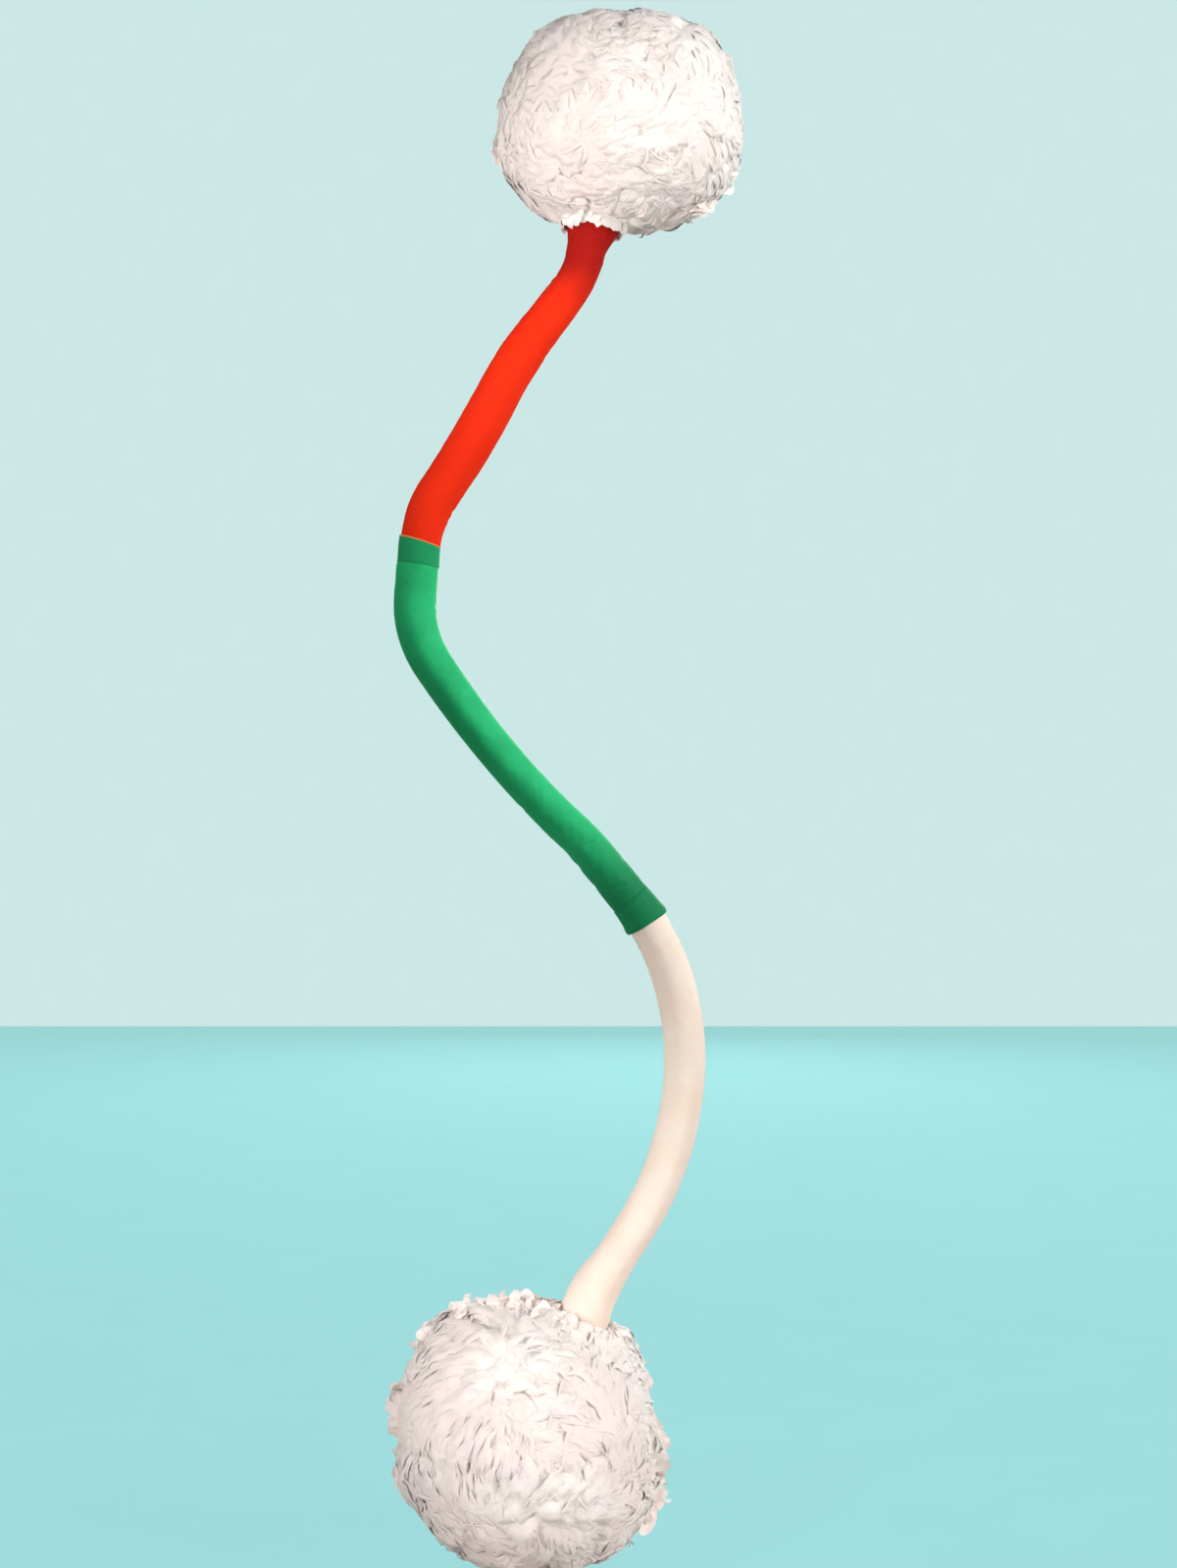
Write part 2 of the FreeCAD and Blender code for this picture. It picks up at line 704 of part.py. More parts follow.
# What holds the pom on its stem: a collar under the hub, and a screw and washer over it.
def stemEnd(name, place):
    under = -hubFoot - size("end_gap")
    rim = gluedBore + size("collar_wall")
    collar = ringPoints(gluedBore, rim, under - size("collar_length"), under)
    turned(name + "_stop_collar", place, collar)
    top = tubeTop - size("glue_gap")
    shank = size("end_screw_radius")
    threaded = shank + size("thread_gap")
    insert = ringPoints(threaded, coreBore - size("glue_gap"), top - size("insert_length"), top)
    turned(name + "_stem_insert", place, insert)
    seat = tubeTop + size("glue_gap")
    washer = ringPoints(shank + size("head_room"), size("end_washer_radius"), seat, washerTop)
    turned(name + "_end_washer", place, washer)
    foot = washerTop + size("glue_gap")
    head = size("end_head_radius")
    tip = foot - size("end_screw_length")
    turned(name + "_end_screw", place, [(0, tip), (shank, tip), (shank, foot), (head, foot),
                                        (head, screwTop), (0, screwTop)])


def pom(name, place):
    radius = size(name + "_pom_radius")
    height = size(name + "_pom_height")
    strands(name + "_pom_strands", place, radius, height)
    hub(name + "_pom_hub", place)
    plate = ringPoints(runningBore, size("plate_radius"), hubTop, capTop)
    turned(name + "_pom_plate", place, plate)
    stemEnd(name, place)


# ---- the whole baton ----

for name, pivot in (("top_neck", topPivot), ("upper", upperPivot), ("lower", lowerPivot),
                    ("bottom_neck", bottomPivot)):
    knuckle(name + "_bend", pivot)

gripEnds = [pinPlace(facingBack(upperPivot)), pinPlace(facingBack(lowerPivot))]
limb("grip", facingBack(upperPivot), gripRoute, gripEnds)
limb("red", upperPivot, redRoute, [pinPlace(upperPivot), pinPlace(facingBack(topPivot))])
limb("cream", lowerPivot, creamRoute, [pinPlace(lowerPivot), pinPlace(facingBack(bottomPivot))])

start, kept = shortened(facingBack(upperPivot), gripRoute, foamCut)
sleeve("green_grip_sleeve", start, endShortened(kept, foamCut))
coveredArm("upper", "red_sleeve", upperPivot, redRoute, size("upper_cuff"))
coveredArm("lower", "cream_sleeve", lowerPivot, creamRoute, size("lower_cuff"))

neck("top", topPom, topRoute, topPivot)
neck("bottom", bottomPom, bottomRoute, bottomPivot)
pom("top", topPom)
pom("bottom", bottomPom)

doc.recompute()

for item in doc.Objects:
    if "Invalid" in item.State or "Error" in item.State:
        raise SystemExit("failed: %s %s" % (item.Label, item.State))
for label, item in nodes.items():
    if item.Shape.isNull() or not item.Shape.isValid() or not item.Shape.Solids:
        raise SystemExit("bad shape: " + label)
for label, volume in pipeVolumes.items():
    if abs(nodes[label].Shape.Volume / volume - 1) > 1e-3:
        raise SystemExit("wrong volume: " + label)

os.makedirs("parts", exist_ok=True)
for label, item in nodes.items():
    item.Shape.exportStep("parts/%s.step" % label)
print("wrote %d nodes" % len(nodes))
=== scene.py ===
import bpy
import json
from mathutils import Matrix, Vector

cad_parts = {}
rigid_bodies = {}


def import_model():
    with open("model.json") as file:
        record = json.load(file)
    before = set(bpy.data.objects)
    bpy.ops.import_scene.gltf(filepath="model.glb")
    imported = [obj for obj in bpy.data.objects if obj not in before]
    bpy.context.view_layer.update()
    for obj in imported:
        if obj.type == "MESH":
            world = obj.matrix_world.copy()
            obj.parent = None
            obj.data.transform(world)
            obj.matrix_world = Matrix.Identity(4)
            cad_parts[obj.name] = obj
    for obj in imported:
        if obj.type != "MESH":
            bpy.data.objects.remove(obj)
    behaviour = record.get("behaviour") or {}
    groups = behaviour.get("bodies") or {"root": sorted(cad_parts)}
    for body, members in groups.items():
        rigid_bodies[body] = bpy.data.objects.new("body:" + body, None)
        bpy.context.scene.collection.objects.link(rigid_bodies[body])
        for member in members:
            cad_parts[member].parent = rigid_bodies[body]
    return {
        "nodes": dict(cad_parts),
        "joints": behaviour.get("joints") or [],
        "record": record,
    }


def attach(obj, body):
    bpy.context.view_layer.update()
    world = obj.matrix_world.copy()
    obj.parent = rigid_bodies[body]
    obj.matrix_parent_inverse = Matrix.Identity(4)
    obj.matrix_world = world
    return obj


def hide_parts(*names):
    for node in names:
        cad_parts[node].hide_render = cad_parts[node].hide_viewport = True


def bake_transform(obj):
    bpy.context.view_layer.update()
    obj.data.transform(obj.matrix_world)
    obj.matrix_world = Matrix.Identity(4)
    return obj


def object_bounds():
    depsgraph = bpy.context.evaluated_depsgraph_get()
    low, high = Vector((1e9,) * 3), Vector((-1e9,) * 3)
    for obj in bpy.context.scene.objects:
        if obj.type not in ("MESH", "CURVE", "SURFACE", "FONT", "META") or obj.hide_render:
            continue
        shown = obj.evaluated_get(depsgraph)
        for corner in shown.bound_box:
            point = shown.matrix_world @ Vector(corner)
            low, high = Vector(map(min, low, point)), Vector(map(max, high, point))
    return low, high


for leftover in list(bpy.data.objects):
    bpy.data.objects.remove(leftover)
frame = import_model()

import json
import math
import numpy as np
from mathutils import Vector

cadBox = [list(corner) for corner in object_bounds()]
scene = bpy.context.scene
mm = 0.001
fullTurn = 2 * math.pi
backward = np.array([0.0, 1.0, 0.0])


def addObject(name, data):
    made = bpy.data.objects.new(name, data)
    scene.collection.objects.link(made)
    return made


def turnsRound(count):
    return np.arange(count) / count * fullTurn


class Wire:
    # A node's output that can stand in a Python sum.
    def __init__(self, bench, socket):
        self.bench = bench
        self.socket = socket

    def isVector(self):
        return self.socket.type in ("VECTOR", "RGBA")

    def join(self, operation, other, swapped=False):
        pair = [other, self] if swapped else [self, other]
        wires = [item for item in pair if isinstance(item, Wire)]
        vectors = [item for item in wires if item.isVector()]
        if not vectors and not any(isinstance(item, tuple) for item in pair):
            return self.bench.node("ShaderNodeMath", {"operation": operation}, dict(enumerate(pair)))
        values = [item for item in wires if not item.isVector()]
        if operation == "MULTIPLY" and values and vectors:
            return self.bench.node("ShaderNodeVectorMath", {"operation": "SCALE"},
                                   {0: vectors[0], "Scale": values[0]})
        pair = [(item,) * 3 if isinstance(item, (int, float)) else item for item in pair]
        return self.bench.node("ShaderNodeVectorMath", {"operation": operation}, dict(enumerate(pair)))

    def __add__(self, other):
        return self.join("ADD", other)

    def __sub__(self, other):
        return self.join("SUBTRACT", other)

    def __rsub__(self, other):
        return self.join("SUBTRACT", other, True)

    def __mul__(self, other):
        return self.join("MULTIPLY", other)

    def __rmul__(self, other):
        return self.join("MULTIPLY", other, True)

    def __truediv__(self, other):
        return self.join("DIVIDE", other)

    def __pow__(self, other):
        return self.join("POWER", other)

    def of(self, operation):
        return self.bench.node("ShaderNodeMath", {"operation": operation}, {0: self})

    def out(self, name):
        return Wire(self.bench, self.bench.pick(self.socket.node.outputs, name))


class Bench:
    # One node tree while it is being laid out.
    def __init__(self, tree):
        self.tree = tree

    def pick(self, sockets, key):
        if isinstance(key, int):
            return sockets[key]
        for socket in sockets:
            if socket.identifier == key:
                return socket
        return next(socket for socket in sockets if socket.name == key)

    def node(self, kind, settings=None, values=None, out=0):
        made = self.tree.nodes.new(kind)
        for key, value in (settings or {}).items():
            if key == "stops":
                for place, (at, colour) in enumerate(value):
                    stops = made.color_ramp.elements
                    stop = stops[place] if place < len(stops) else stops.new(at)
                    stop.position, stop.color = at, colour
            else:
                setattr(made, key, value)
        for key, value in (values or {}).items():
            socket = self.pick(made.inputs, key)
            if isinstance(value, Wire):
                self.tree.links.new(value.socket, socket)
            else:
                socket.default_value = value
        return Wire(self, self.pick(made.outputs, out)) if len(made.outputs) else made

    def noise(self, place, size, detail=2.0, rough=0.5):
        values = {"Vector": place, "Scale": 1 / size, "Detail": detail, "Roughness": rough}
        return self.node("ShaderNodeTexNoise", None, values)

    def mix(self, share, first, second):
        return self.node("ShaderNodeMix", {"data_type": "RGBA"},
                         {"Factor_Float": share, "A_Color": first, "B_Color": second}, "Result_Color")

    def clamped(self, value, low, high, start=0.0, end=1.0):
        return self.node("ShaderNodeMapRange", {"interpolation_type": "SMOOTHSTEP"},
                         {"Value": value, "From Min": low, "From Max": high,
                          "To Min": start, "To Max": end})


    def place(self):
        return self.node("ShaderNodeTexCoord", None, None, "Object")

    def bump(self, height, strength, distance):
        return self.node("ShaderNodeBump", None,
                         {"Strength": strength, "Distance": distance, "Height": height})


def opaque(colour):
    return tuple(colour) + (1.0,)


def clearBench(owner):
    owner.use_nodes = True
    owner.node_tree.nodes.clear()
    return Bench(owner.node_tree)


def startMaterial(name, constants):
    material = bpy.data.materials.new(name)
    bench = clearBench(material)
    shader = bench.tree.nodes.new("ShaderNodeBsdfPrincipled")
    for key, value in constants.items():
        bench.pick(shader.inputs, key).default_value = value
    bench.node("ShaderNodeOutputMaterial", None, {"Surface": Wire(bench, shader.outputs[0])})
    return material, bench, shader


def feedShader(bench, shader, colour, rough, normal):
    for key, wire in (("Base Color", colour), ("Roughness", rough), ("Normal", normal)):
        bench.tree.links.new(wire.socket, bench.pick(shader.inputs, key))


knitRules = {"sheenRough": 0.45, "slope": 0.45, "stitchShare": 0.6, "fineSize": 0.0011, "shadeWander": 0.02,
             "patchRange": (0.32, 0.70), "fleckRange": (0.58, 0.74), "flecks": 0.10, "roughRange": 0.16,
             "knitHeight": 0.7, "fineHeight": 0.5, "bumpDepth": 0.0003}


# Knitted cloth on the sleeve's own unrolled map, in metres round and along.
def clothMaterial(name, look):
    rules = knitRules
    material, bench, shader = startMaterial(name, {
        "Sheen Weight": look["sheen"], "Sheen Roughness": rules["sheenRough"],
        "Sheen Tint": opaque(look["light"]), "Specular IOR Level": look["gloss"]})
    spot = bench.node("ShaderNodeUVMap", {"uv_map": "cloth"})
    split = bench.node("ShaderNodeSeparateXYZ", None, {0: spot})
    around, along = split.out("X"), split.out("Y")
    wale = (around * (math.pi / look["wale"])).of("SINE").of("ABSOLUTE")
    stitch = ((along / look["course"] + wale * rules["slope"]) * fullTurn).of("SINE") * 0.5 + 0.5
    knit = wale * (stitch * rules["stitchShare"] + (1 - rules["stitchShare"]))
    place = bench.place()
    broad = bench.noise(place, look["patchSize"], 3.0)
    fine = bench.noise(place, rules["fineSize"], 2.0, 0.6)
    tone = bench.clamped(broad, *rules["patchRange"], 0.0, look["patches"])
    colour = bench.mix(tone, opaque(look["colour"]), opaque(look["deep"]))
    # Painted shade: along the sleeve the colour darkens into a given shade colour. On the red this is the top
    # pom's shadow near its end; on the green it is the shaded side widening toward its lower end.
    if "shadeBand" in look:
        start, end, shadeColour = look["shadeBand"]
        paintedShadeShare = bench.clamped(along + (broad - 0.5) * rules["shadeWander"], start, end)
        colour = bench.mix(paintedShadeShare, colour, opaque(shadeColour))
    # Painted shade: the grooves between stitches are darkened toward the deep colour.
    colour = bench.mix((1 - knit) * look["groove"], colour, opaque(look["deep"]))
    flecks = bench.clamped(fine, *rules["fleckRange"], 0.0, rules["flecks"])
    colour = bench.mix(flecks, colour, opaque(look["light"]))
    rough = fine * rules["roughRange"] + (look["rough"] - rules["roughRange"] / 2)
    height = knit * rules["knitHeight"] + fine * rules["fineHeight"]
    feedShader(bench, shader, colour, rough, bench.bump(height, look["bump"], rules["bumpDepth"]))
    return material


# The red's and the green's shade band (start, end, colour) is painted shade: the red's stands for the top
# pom's shadow, the green's for its shaded lower end.
clothLooks = {
    "red": {"colour": (0.96, 0.032, 0.005), "deep": (0.74, 0.014, 0.004), "light": (1.0, 0.20, 0.10),
            "wale": 0.0010, "course": 0.0008, "patchSize": 0.030, "patches": 0.20, "groove": 0.08,
            "sheen": 0.05, "gloss": 0.10, "rough": 0.80, "bump": 0.16,
            "shadeBand": (0.300, 0.345, (0.40, 0.009, 0.006))},
    "green": {"colour": (0.023, 0.55, 0.195), "deep": (0.009, 0.30, 0.095), "light": (0.07, 0.78, 0.34),
              "wale": 0.0010, "course": 0.0008, "patchSize": 0.016, "patches": 0.30, "groove": 0.16,
              "sheen": 0.0, "gloss": 0.12, "rough": 0.62, "bump": 0.22,
              "shadeBand": (-0.060, -0.125, (0.006, 0.20, 0.072))},
    "greenHem": {"colour": (0.014, 0.34, 0.125), "deep": (0.009, 0.24, 0.080), "light": (0.07, 0.62, 0.28),
                 "wale": 0.0010, "course": 0.0008, "patchSize": 0.010, "patches": 0.30, "groove": 0.20,
                 "sheen": 0.0, "gloss": 0.12, "rough": 0.70, "bump": 0.26},
    "cream": {"colour": (0.98, 0.85, 0.735), "deep": (0.94, 0.73, 0.58), "light": (1.0, 0.95, 0.89),
              "wale": 0.0009, "course": 0.0007, "patchSize": 0.022, "patches": 0.45, "groove": 0.08,
              "sheen": 0.15, "gloss": 0.20, "rough": 0.72, "bump": 0.12},
}
cloths = {name: clothMaterial(name + "Jersey", look) for name, look in clothLooks.items()}


threadLooks = {
    "gold": {"colour": (0.90, 0.42, 0.09), "deep": (0.55, 0.20, 0.03), "twist": 0.0007},
    "greenThread": {"colour": (0.020, 0.30, 0.12), "deep": (0.008, 0.16, 0.06), "twist": 0.0005},
    "redThread": {"colour": (0.72, 0.030, 0.012), "deep": (0.45, 0.015, 0.008), "twist": 0.0005},
    "creamThread": {"colour": (0.86, 0.66, 0.50), "deep": (0.70, 0.48, 0.34), "twist": 0.0005},
}

threadRules = {"sheen": 0.2, "gloss": 0.35, "bend": 0.3, "twisted": 1.5, "speckSize": 0.0008,
               "strandShare": 0.5, "speckShare": 0.3, "rough": (0.45, 0.2), "bump": 0.4, "bumpDepth": 0.0002}


# Twisted sewing thread.
def threadMaterial(name, look):
    rules = threadRules
    material, bench, shader = startMaterial(name, {
        "Sheen Weight": rules["sheen"], "Specular IOR Level": rules["gloss"]})
    place = bench.place()
    strand = bench.node("ShaderNodeTexWave", {"wave_type": "BANDS", "bands_direction": "DIAGONAL"},
                        {"Vector": place, "Scale": rules["bend"] / look["twist"],
                         "Distortion": rules["twisted"]}, "Fac")
    speck = bench.noise(place, rules["speckSize"])
    share = strand * rules["strandShare"] + speck * rules["speckShare"]
    colour = bench.mix(share, opaque(look["colour"]), opaque(look["deep"]))
    least, more = rules["rough"]
    feedShader(bench, shader, colour, speck * more + least,
               bench.bump(strand, rules["bump"], rules["bumpDepth"]))
    return material


threads = {name: threadMaterial(name, look) for name, look in threadLooks.items()}


stripLook = {"white": (0.985, 0.940, 0.895), "blush": (0.965, 0.850, 0.800), "shade": (0.90, 0.82, 0.84),
             "patchSize": 0.045, "coolAt": (0.31, 0.17, 0.05), "coolSize": 0.7, "fineSize": 0.0009,
             "blushRange": (0.35, 0.68), "blushMost": 0.75, "coolRange": (0.55, 0.80), "coolMost": 0.55,
             "ownShare": 0.30, "sheen": 0.25, "sheenRough": 0.5, "gloss": 0.15, "rough": (0.62, 0.2),
             "bump": 0.15, "bumpDepth": 0.0003}


# Soft matt strips: each a little different, with broad blush and cool patches over the ball.
def stripMaterial(name, look, hasShade=True):
    material, bench, shader = startMaterial(name, {
        "Sheen Weight": look["sheen"], "Sheen Roughness": look["sheenRough"],
        "Specular IOR Level": look["gloss"]})
    place = bench.place()
    broad = bench.noise(place, look["patchSize"], 1.5)
    cool = bench.noise(place + look["coolAt"], look["patchSize"] * look["coolSize"], 1.0)
    fine = bench.noise(place, look["fineSize"], 2.0, 0.6)
    blushed = bench.clamped(broad, *look["blushRange"], 0.0, look["blushMost"])
    colour = bench.mix(blushed, opaque(look["white"]), opaque(look["blush"]))
    cooled = bench.clamped(cool, *look["coolRange"], 0.0, look["coolMost"])
    colour = bench.mix(cooled, colour, opaque(look["shade"]))
    if hasShade:
        own = bench.node("ShaderNodeAttribute", {"attribute_name": "shade"}, None, "Fac")
        colour = bench.mix(own * look["ownShare"], colour, opaque(look["blush"]))
    least, more = look["rough"]
    feedShader(bench, shader, colour, fine * more + least, bench.bump(fine, look["bump"], look["bumpDepth"]))
    return material


stripCloth = stripMaterial("whiteStrips", stripLook)
coreCloth = stripMaterial("whiteCore", stripLook, False)


foamLook = {"wall": (0.62, 0.60, 0.54), "face": (0.86, 0.85, 0.80), "aged": (0.80, 0.77, 0.66),
            "cells": 1400.0, "cellRange": (0.15, 0.6), "agedSize": 0.02, "agedShare": 0.3, "gloss": 0.2,
            "rough": (0.85, 0.1), "bump": 0.5, "bumpDepth": 0.0003}


def foamMaterial(name, look):
    material, bench, shader = startMaterial(name, {"Specular IOR Level": look["gloss"]})
    place = bench.place()
    cells = bench.node("ShaderNodeTexVoronoi", {"feature": "F1"},
                       {"Vector": place, "Scale": look["cells"]}, "Distance")
    # Painted shade: each cell's hollow takes the darker wall colour, and its raised rim takes the paler face
    # colour.
    colour = bench.mix(bench.clamped(cells, *look["cellRange"]), opaque(look["wall"]), opaque(look["face"]))
    colour = bench.mix(bench.noise(place, look["agedSize"]) * look["agedShare"], colour, opaque(look["aged"]))
    least, more = look["rough"]
    feedShader(bench, shader, colour, cells * more + least,
               bench.bump(cells, look["bump"], look["bumpDepth"]))
    return material


foamCells = foamMaterial("paleFoam", foamLook)


# The hard parts inside: each slot's colour, how it was worked, and its wear.
hardLooks = {
    "core_metal": {"colour": (0.74, 0.75, 0.77), "worn": (0.56, 0.57, 0.60), "metal": 1.0, "rough": 0.32,
                   "grain": (900.0, 900.0, 40.0), "bump": 0.08},
    "steel": {"colour": (0.62, 0.63, 0.65), "worn": (0.50, 0.48, 0.44), "metal": 1.0, "rough": 0.30,
              "grain": (500.0, 500.0, 500.0), "bump": 0.06},
    "brass": {"colour": (0.76, 0.57, 0.25), "worn": (0.52, 0.36, 0.14), "metal": 1.0, "rough": 0.28,
              "grain": (250.0, 250.0, 1400.0), "bump": 0.08},
    "washer_plastic": {"colour": (0.055, 0.055, 0.060), "worn": (0.12, 0.12, 0.125), "metal": 0.0,
                       "rough": 0.48, "grain": (700.0, 700.0, 700.0), "bump": 0.15},
    "nylon": {"colour": (0.80, 0.80, 0.77), "worn": (0.68, 0.66, 0.60), "metal": 0.0, "rough": 0.42,
              "grain": (600.0, 600.0, 600.0), "bump": 0.12},
}
wearRules = {"size": 0.006, "range": (0.45, 0.75), "most": 0.6, "grainRough": 0.18, "wearRough": 0.12,
             "bumpDepth": 0.0002}


def hardMaterial(name, look):
    rules = wearRules
    material, bench, shader = startMaterial(name, {"Metallic": look["metal"]})
    place = bench.place()
    stretched = bench.node("ShaderNodeMapping", {"vector_type": "POINT"},
                           {"Vector": place, "Scale": look["grain"]})
    grain = bench.node("ShaderNodeTexNoise", None, {"Vector": stretched, "Scale": 1.0, "Detail": 3.0})
    wear = bench.clamped(bench.noise(place, rules["size"], 4.0, 0.65), *rules["range"], 0.0, rules["most"])
    colour = bench.mix(wear, opaque(look["colour"]), opaque(look["worn"]))
    least = look["rough"] - rules["grainRough"] / 2
    rough = grain * rules["grainRough"] + wear * rules["wearRough"] + least
    feedShader(bench, shader, colour, rough, bench.bump(grain, look["bump"], rules["bumpDepth"]))
    return material


hardParts = {slot: hardMaterial(slot.replace("_", "") + "Finish", look) for slot, look in hardLooks.items()}
print("materials:", len(bpy.data.materials))


# Moves outward from the middle of the green sleeve: a straight length, an arc as radius and turn
# in degrees toward +X, or the name of a joint that the line goes through.
shaftLine = {
    "heading": -39.5,
    "up": [(0.530, 7.0), (0.066, 34.5), 0.016, "upper_bend", 0.016, (0.068, 32.5), (0.590, -7.0),
           (0.260, 9.5), 0.016, "top_neck_bend", 0.016, (0.062, -21.0), 0.083, "top_pom_spin"],
    "down": [(0.530, -7.0), (0.200, 7.5), 0.016, "lower_bend", 0.016, (0.138, 22.0), (0.173, 22.5),
             (0.198, 27.0), 0.016, "bottom_neck_bend", 0.016, (0.090, -10.0), 0.092, "bottom_pom_spin"],
}


def layLine(heading, moves):
    x = z = reached = 0.0
    turn = math.radians(heading)
    stretches, marks = [], {}
    for move in moves:
        if isinstance(move, str):
            marks[move] = reached
            continue
        if isinstance(move, tuple):
            length = move[0] * abs(math.radians(move[1]))
            bend = math.copysign(1 / move[0], move[1])
        else:
            length, bend = move, 0.0
        stretches.append((reached, x, z, turn, bend))
        x, z, turn = goAlong(x, z, turn, bend, length)
        reached += length
    return stretches, marks


def goAlong(x, z, turn, bend, length):
    if not bend:
        return x + length * math.sin(turn), z + length * math.cos(turn), turn
    end = turn + bend * length
    return (x + (math.cos(turn) - math.cos(end)) / bend, z + (math.sin(end) - math.sin(turn)) / bend, end)


upLine, upMarks = layLine(shaftLine["heading"], shaftLine["up"])
downLine, downMarks = layLine(shaftLine["heading"] + 180, shaftLine["down"])
marks = dict(upMarks, **{name: -at for name, at in downMarks.items()})


# Point and heading at a distance along the shaft, up from the middle or down below it.
def onLine(at):
    stretches = upLine if at >= 0 else downLine
    far = abs(at)
    stretch = [item for item in stretches if item[0] <= far + 1e-9][-1]
    x, z, turn = goAlong(*stretch[1:], far - stretch[0])
    return x, z, turn if at >= 0 else turn - math.pi


worst = 0.0
for joint in frame["joints"]:
    x, z, turn = onLine(marks[joint["name"]])
    worst = max(worst, math.dist((x, 0, z), joint["pos_m"]))
print("centre line leaves the joints by at most %.4f mm" % (worst / mm))


# Unit directions at stations along the line: toward the right, toward the back, and along.
def framesAt(stations):
    spots = np.array([onLine(at) for at in stations])
    turn = spots[:, 2]
    none = np.zeros_like(turn)
    centre = np.stack([spots[:, 0], none, spots[:, 1]], axis=1)
    side = np.stack([np.cos(turn), none, -np.sin(turn)], axis=1)
    ahead = np.stack([np.sin(turn), none, np.cos(turn)], axis=1)
    return centre, side, ahead


def pointOnLine(at):
    x, z, turn = onLine(at)
    return (x, 0.0, z)


def newPiece(name, points, faces, uvs=None):
    mesh = bpy.data.meshes.new(name)
    mesh.from_pydata(np.asarray(points).reshape(-1, 3).tolist(), [], np.asarray(faces).tolist())
    if uvs is not None:
        mesh.uv_layers.new(name="cloth").data.foreach_set("uv", np.asarray(uvs, np.float32).ravel())
    mesh.shade_smooth()
    mesh.validate()
    return addObject(name, mesh)


def gridCells(rows, columns, loop):
    count = rows if loop else rows - 1
    return np.repeat(np.arange(count), columns), np.tile(np.arange(columns), count)


# Faces of a grid that closes round each row, and back to its first row where it is a loop.
def gridFaces(rows, columns, loop):
    row, column = gridCells(rows, columns, loop)
    nextRow, nextColumn = (row + 1) % rows, (column + 1) % columns
    return np.stack([row * columns + column, row * columns + nextColumn,
                     nextRow * columns + nextColumn, nextRow * columns + column], axis=1)


def loopMap(rows, columns, along, girth):
    row, column = gridCells(rows, columns, True)
    left, right = column / columns * girth, (column + 1) / columns * girth
    low, high = along[row], along[row + 1]
    return np.stack([left, low, right, low, right, high, left, high], axis=1).reshape(-1, 2)


upperSeam = marks["upper_bend"] + 0.0215
lowerSeam = marks["lower_bend"] - 0.0315
topEnd = marks["top_pom_spin"] - 0.0628
bottomEnd = marks["bottom_pom_spin"] + 0.0758
seamTilt = {"at": upperSeam, "reach": 0.022, "lean": 0.0022}
clothGirth = 0.0785


# The cloth is sewn on a little aslant at the upper seam: how far it moves along the shaft there.
def slantAt(stations, angles):
    near = np.exp(-((stations - seamTilt["at"]) / seamTilt["reach"]) ** 2)
    return -seamTilt["lean"] * near * np.cos(angles)


def outward(side, angles):
    return np.cos(angles)[None, :, None] * side[:, None, :] + np.sin(angles)[None, :, None] * backward


# A closed ring of cloth round the shaft: its section is a loop of (station, offset) rows, and
# radiusAt gives the outer radius at each station and angle.
def sweptRing(name, section, radiusAt, around):
    stations, offsets = np.array(section).T
    angles = turnsRound(around)
    centre, side, ahead = framesAt(stations)
    radius = radiusAt(stations, angles) + offsets[:, None]
    points = centre[:, None, :] + outward(side, angles) * radius[:, :, None]
    points += ahead[:, None, :] * slantAt(stations[:, None], angles[None, :])[:, :, None]
    steps = np.hypot(np.diff(np.append(stations, stations[0])), np.diff(np.append(offsets, offsets[0])))
    along = stations[0] + np.concatenate([[0.0], np.cumsum(steps)])
    return newPiece(name, points, gridFaces(len(section), around, True),
                    loopMap(len(section), around, along, clothGirth))


lipTurns = [30, 60, 90, 120, 150]


# Rows of a sleeve's section: out along the cloth, round the end, and back inside it.
def sleeveSection(start, end, roundStart, roundEnd):
    wall, edge = sleeveRules["wall"], sleeveRules["edge"]
    half = wall * 0.5
    count = max(2, int(round(abs(end - start) / sleeveRules["step"])))
    rows = [(start, 0.0), (start + edge, 0.0)]
    rows += [(at, 0.0) for at in np.linspace(start, end, count + 1)[1:-1]]
    if roundEnd:
        rows += [(end + half * math.sin(a), half * (math.cos(a) - 1)) for a in np.radians([0] + lipTurns)]
    else:
        rows += [(end - edge, 0.0), (end, 0.0)]
    rows += [(at, -wall) for at in np.linspace(end, start, max(2, count // 2) + 1)]
    if roundStart:
        rows += [(start - half * math.sin(a), half * (1 - math.cos(a)) - wall) for a in np.radians(lipTurns)]
    return rows


def smoothTable(values, table):
    spots = np.array([item[0] for item in table])
    levels = np.array([item[1] for item in table])
    place = np.clip(np.searchsorted(spots, values) - 1, 0, len(spots) - 2)
    share = np.clip((values - spots[place]) / (spots[place + 1] - spots[place]), 0, 1)
    share = share * share * (3 - 2 * share)
    return levels[place] * (1 - share) + levels[place + 1] * share


